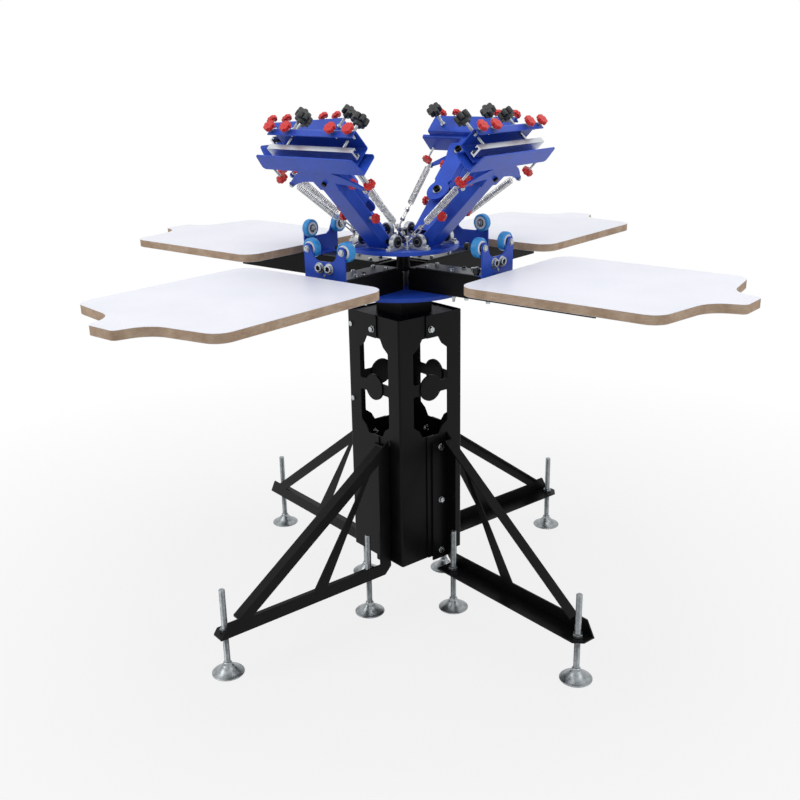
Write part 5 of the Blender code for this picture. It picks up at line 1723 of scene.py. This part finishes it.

# %% [markdown]
# Each arm hangs on two extension springs. A spring is one wire: an eye over the horn pin, a close coil
# and a hook that runs into a small turnbuckle, whose far eye sits on a post of the disc. The wire is
# swept along its path with frames that turn as little as possible. Each spring is built in world space
# where its arm stands and is carried by no body, so it does not follow the arm when it comes down. On
# the real press the coil takes up the change of length.

# %% Lift springs
WIRE_RADIUS = 0.0014
COIL_RADIUS = 0.0070
COIL_TURNS = 28
COIL_TURN_POINTS = 16
COIL_START = 0.016
COIL_LENGTH = 0.134
EYE_RADIUS = 0.0052
EYE_POINTS = 16
EYE_SWEEP = 300.0
WIRE_SIDES = 8
ANCHOR_EYE_DROPS = {1: 0.0075, -1: 0.0155}
HORN_EYE_LIFT = 0.004
BUCKLE_START = 0.166
BUCKLE_LENGTH = 0.046
BUCKLE_HALF = 0.0045
BUCKLE_BAR = 0.0018
BUCKLE_END = 0.006
BUCKLE_CAP_RADIUS = 0.0063
BUCKLE_CAP_FACE = 0.0058
BUCKLE_CAP_EDGE = 0.0008
BUCKLE_SCREW_RADIUS = 0.0022
BUCKLE_SCREW_PITCH = 0.0012
BUCKLE_SCREW_SIDES = 14
BUCKLE_SCREW_GRIPS = (0.016, 0.012)
BUCKLE_EYE_GAP = 0.001
BUCKLE_SWING = 0.004
HOOK_RADIUS = 0.004
HOOK_GAP = 0.001
HOOK_LEAD = 0.004
HOOK_LEAD_SHARE = 0.5
HOOK_START = -40
HOOK_STEP = 24
HOOK_STEPS = 10
POST_EYE_SIDES = 24


def swept(points, radius, sides=WIRE_SIDES):
    """Round wire along points, with frames that turn as little as possible."""
    side = None
    rings = []
    for index, spot in enumerate(points):
        ahead = (points[min(index + 1, len(points) - 1)] - points[max(index - 1, 0)]).normalized()
        side = ahead.orthogonal() if side is None else side - ahead * side.dot(ahead)
        side.normalize()
        third = ahead.cross(side)
        ring = []
        for step in range(sides):
            angle = math.tau * step / sides
            ring.append(spot + (side * math.cos(angle) + third * math.sin(angle)) * radius)
        rings.append(ring)
    return ringed(rings)


def eye(centre, axis, exit_way, sideways):
    """Open ring about a pin, ending where the wire leaves along exit_way."""
    leave = (exit_way - axis * exit_way.dot(axis)).normalized()
    points = []
    for step in range(EYE_POINTS + 1):
        angle = math.radians(EYE_SWEEP * (1 - step / EYE_POINTS))
        points.append(centre + (sideways * math.cos(angle) - leave * math.sin(angle)) * EYE_RADIUS)
    return points


def spring_wire(pin, pin_axis, way, side):
    """Path of the wire, from eye to coil to hook, and the way across which the turnbuckle's bars lie."""
    across = pin_axis.cross(way).normalized() * side
    third = way.cross(across)
    wire = eye(pin, pin_axis, way, across)
    steps = COIL_TURNS * COIL_TURN_POINTS
    for step in range(steps + 1):
        share = step / steps
        angle = side * math.tau * COIL_TURNS * share
        spoke = across * math.cos(angle) + third * math.sin(angle)
        wire.append(pin + way * (COIL_START + COIL_LENGTH * share) + spoke * COIL_RADIUS)
    hook_middle = pin + way * (BUCKLE_START + HOOK_GAP)
    lead = across * COIL_RADIUS * HOOK_LEAD_SHARE
    wire.append(pin + way * (COIL_START + COIL_LENGTH + HOOK_LEAD) + lead)
    for step in range(HOOK_STEPS + 1):
        angle = math.radians(step * HOOK_STEP + HOOK_START)
        wire.append(hook_middle + (across * math.cos(angle) + way * math.sin(angle)) * HOOK_RADIUS)
    return wire, third


def turnbuckle(pin, way, third, length):
    """Two bars between two round ends, with a screw running out of each end."""
    foot, top = BUCKLE_START + BUCKLE_END, BUCKLE_START + BUCKLE_LENGTH
    near_grip, far_grip = BUCKLE_SCREW_GRIPS
    far_end = length - EYE_RADIUS - BUCKLE_EYE_GAP
    shape = (BUCKLE_SCREW_PITCH, BUCKLE_SCREW_SIDES)
    parts = []
    for start, end in ((BUCKLE_START, BUCKLE_START + near_grip), (top - far_grip, far_end)):
        parts.append(thread(BUCKLE_SCREW_RADIUS, pin + way * start, pin + way * end, *shape))
    for offset in (-1, 1):
        bar = third * offset * BUCKLE_HALF
        parts.append(rod(BUCKLE_BAR, pin + way * foot + bar, pin + way * top + bar, 12))
    cap = [(BUCKLE_CAP_FACE, 0), (BUCKLE_CAP_RADIUS, BUCKLE_CAP_EDGE)]
    cap += [(BUCKLE_CAP_RADIUS, BUCKLE_END - BUCKLE_CAP_EDGE), (BUCKLE_CAP_FACE, BUCKLE_END)]
    for reach in (foot, top - BUCKLE_END):
        seat = pointing(pin + way * reach, pin + way * (reach + BUCKLE_END))
        parts.append(moved_by(lathe(cap, 20), seat))
    return parts


def lift_spring(place, side):
    """Spring and turnbuckle of one side of an arm, in world space, with its anchor and a point short of the
    turnbuckle.
    """
    pin = place @ Vector((HORN_TIP_REACH, side * HORN_TIP_OFFSET, -TUBE_HALF_DEPTH + HORN_EYE_LIFT))
    pin_axis = (place.to_3x3() @ Vector((0, 0, 1))).normalized()
    radial = Vector((place.translation.x, place.translation.y, 0)).normalized()
    left = Vector((-radial.y, radial.x, 0))
    anchor = radial * ANCHOR_OFFSET + left * side * ANCHOR_OFFSET
    anchor.z = ANCHOR_TOP_Z - ANCHOR_EYE_DROPS[side]
    way = (anchor - pin).normalized()
    wire, third = spring_wire(pin, pin_axis, way, side)
    buckle = turnbuckle(pin, way, third, (anchor - pin).length)
    post_side = Vector((0, 0, 1)).cross(way).normalized() * side
    ring = []
    for step in range(POST_EYE_SIDES + 1):
        angle = math.tau * step / POST_EYE_SIDES
        ring.append(anchor + (-way * math.cos(angle) + post_side * math.sin(angle)) * EYE_RADIUS)
    mesh = gathered(swept(wire, WIRE_RADIUS), *buckle, swept(ring, WIRE_RADIUS))
    return mesh, anchor, pin + way * (BUCKLE_START - BUCKLE_SWING)


for number in range(1, STATIONS + 1):
    for letter, side in (("a", 1), ("b", -1)):
        mesh, anchor, coil_end = lift_spring(arm_place(number), side)
        spring = dressed(f"wound_spring_{number}{letter}", mesh, [SPRING_WIRE], UPRIGHT)
        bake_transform(spring)
        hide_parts(f"lift_spring_{number}{letter}")
print("spring points:", len(mesh.vertices))

# %% [markdown]
# The floor is a wide pale sheet. To the camera it glows almost white, so the background stays clean,
# but near the press a fifth of what the camera sees is still its lit surface, which keeps the soft
# shadow. Three large lamps give broad highlights: a key from the left front, a weaker fill from the
# right and one overhead.

# %% Floor, lamps and world
FLOOR_RADIUS = 6.0
FLOOR_FOOT_Z = -0.02
FLOOR_TOP_Z = -0.0005
FLOOR_SIDES = 96
WHITE = (1, 1, 1, 1)
FLOOR_SHADE_SHARE = 0.18
FLOOR_SHADE_REACH = 0.7
FLOOR_WHITE_REACH = 2.2
WORLD_STRENGTH = 0.57


def maths(tree, operation, first, second):
    """Result of one sum of two values or sockets."""
    return add(tree, "ShaderNodeMath", {0: first, 1: second}, operation=operation).outputs[0]


def seen_directly(tree):
    """One where a ray comes from the camera, a mirror or through glass."""
    path = add(tree, "ShaderNodeLightPath").outputs
    either = maths(tree, "MAXIMUM", path["Is Camera Ray"], path["Is Glossy Ray"])
    return maths(tree, "MAXIMUM", either, path["Is Transmission Ray"])


def floor_finish():
    """Pale floor that keeps a share of its shade near the press and none far from it."""
    material, tree, spots = new_finish("pale_floor")
    lit = add(tree, "ShaderNodeBsdfDiffuse", {"Color": linear("bcbdc1")})
    glow = add(tree, "ShaderNodeEmission", {"Color": WHITE, "Strength": 1.0})
    away = add(tree, "ShaderNodeVectorMath", {0: spots}, operation="LENGTH").outputs["Value"]
    reaches = {"Value": away, "From Min": FLOOR_SHADE_REACH, "From Max": FLOOR_WHITE_REACH}
    shares = {"To Min": 1 - FLOOR_SHADE_SHARE, "To Max": 1.0}
    glow_share = add(tree, "ShaderNodeMapRange", reaches | shares).outputs["Result"]
    blend_share = maths(tree, "MULTIPLY", seen_directly(tree), glow_share)
    shaders = {0: blend_share, 1: lit.outputs[0], 2: glow.outputs[0]}
    to_output(tree, add(tree, "ShaderNodeMixShader", shaders))
    return material


floor_profile = [(FLOOR_RADIUS, FLOOR_FOOT_Z), (FLOOR_RADIUS, FLOOR_TOP_Z)]
floor = bpy.data.objects.new("floor", lathe(floor_profile, FLOOR_SIDES))
floor.data.materials.append(floor_finish())
bpy.context.scene.collection.objects.link(floor)

world = bpy.data.worlds.new("studio")
world.use_nodes = True
studio = world.node_tree
studio.nodes.clear()
levels = {"Value": seen_directly(studio), "To Min": WORLD_STRENGTH, "To Max": 1.0}
strength = add(studio, "ShaderNodeMapRange", levels).outputs["Result"]
sky = add(studio, "ShaderNodeBackground", {"Color": WHITE, "Strength": strength})
to_output(studio, sky, "ShaderNodeOutputWorld")
bpy.context.scene.world = world

LAMPS = (
    ("key", (-1.6, -2.6, 2.9), 1.8, 32),
    ("fill", (3.0, 0.4, 2.2), 1.8, 15),
    ("overhead", (0.2, 0.2, 3.4), 2.2, 28),
)
AIM = Vector((0, 0, 0.75))
for name, place, size, power in LAMPS:
    lamp = bpy.data.lights.new(name, "AREA")
    lamp.shape = "SQUARE"
    lamp.size = size
    lamp.energy = power
    item = bpy.data.objects.new(name, lamp)
    turn = (AIM - Vector(place)).to_track_quat("-Z", "Y").to_matrix().to_4x4()
    item.matrix_world = Matrix.Translation(place) @ turn
    bpy.context.scene.collection.objects.link(item)

bpy.context.scene.view_settings.view_transform = "Standard"
print("lamps:", [lamp[0] for lamp in LAMPS])
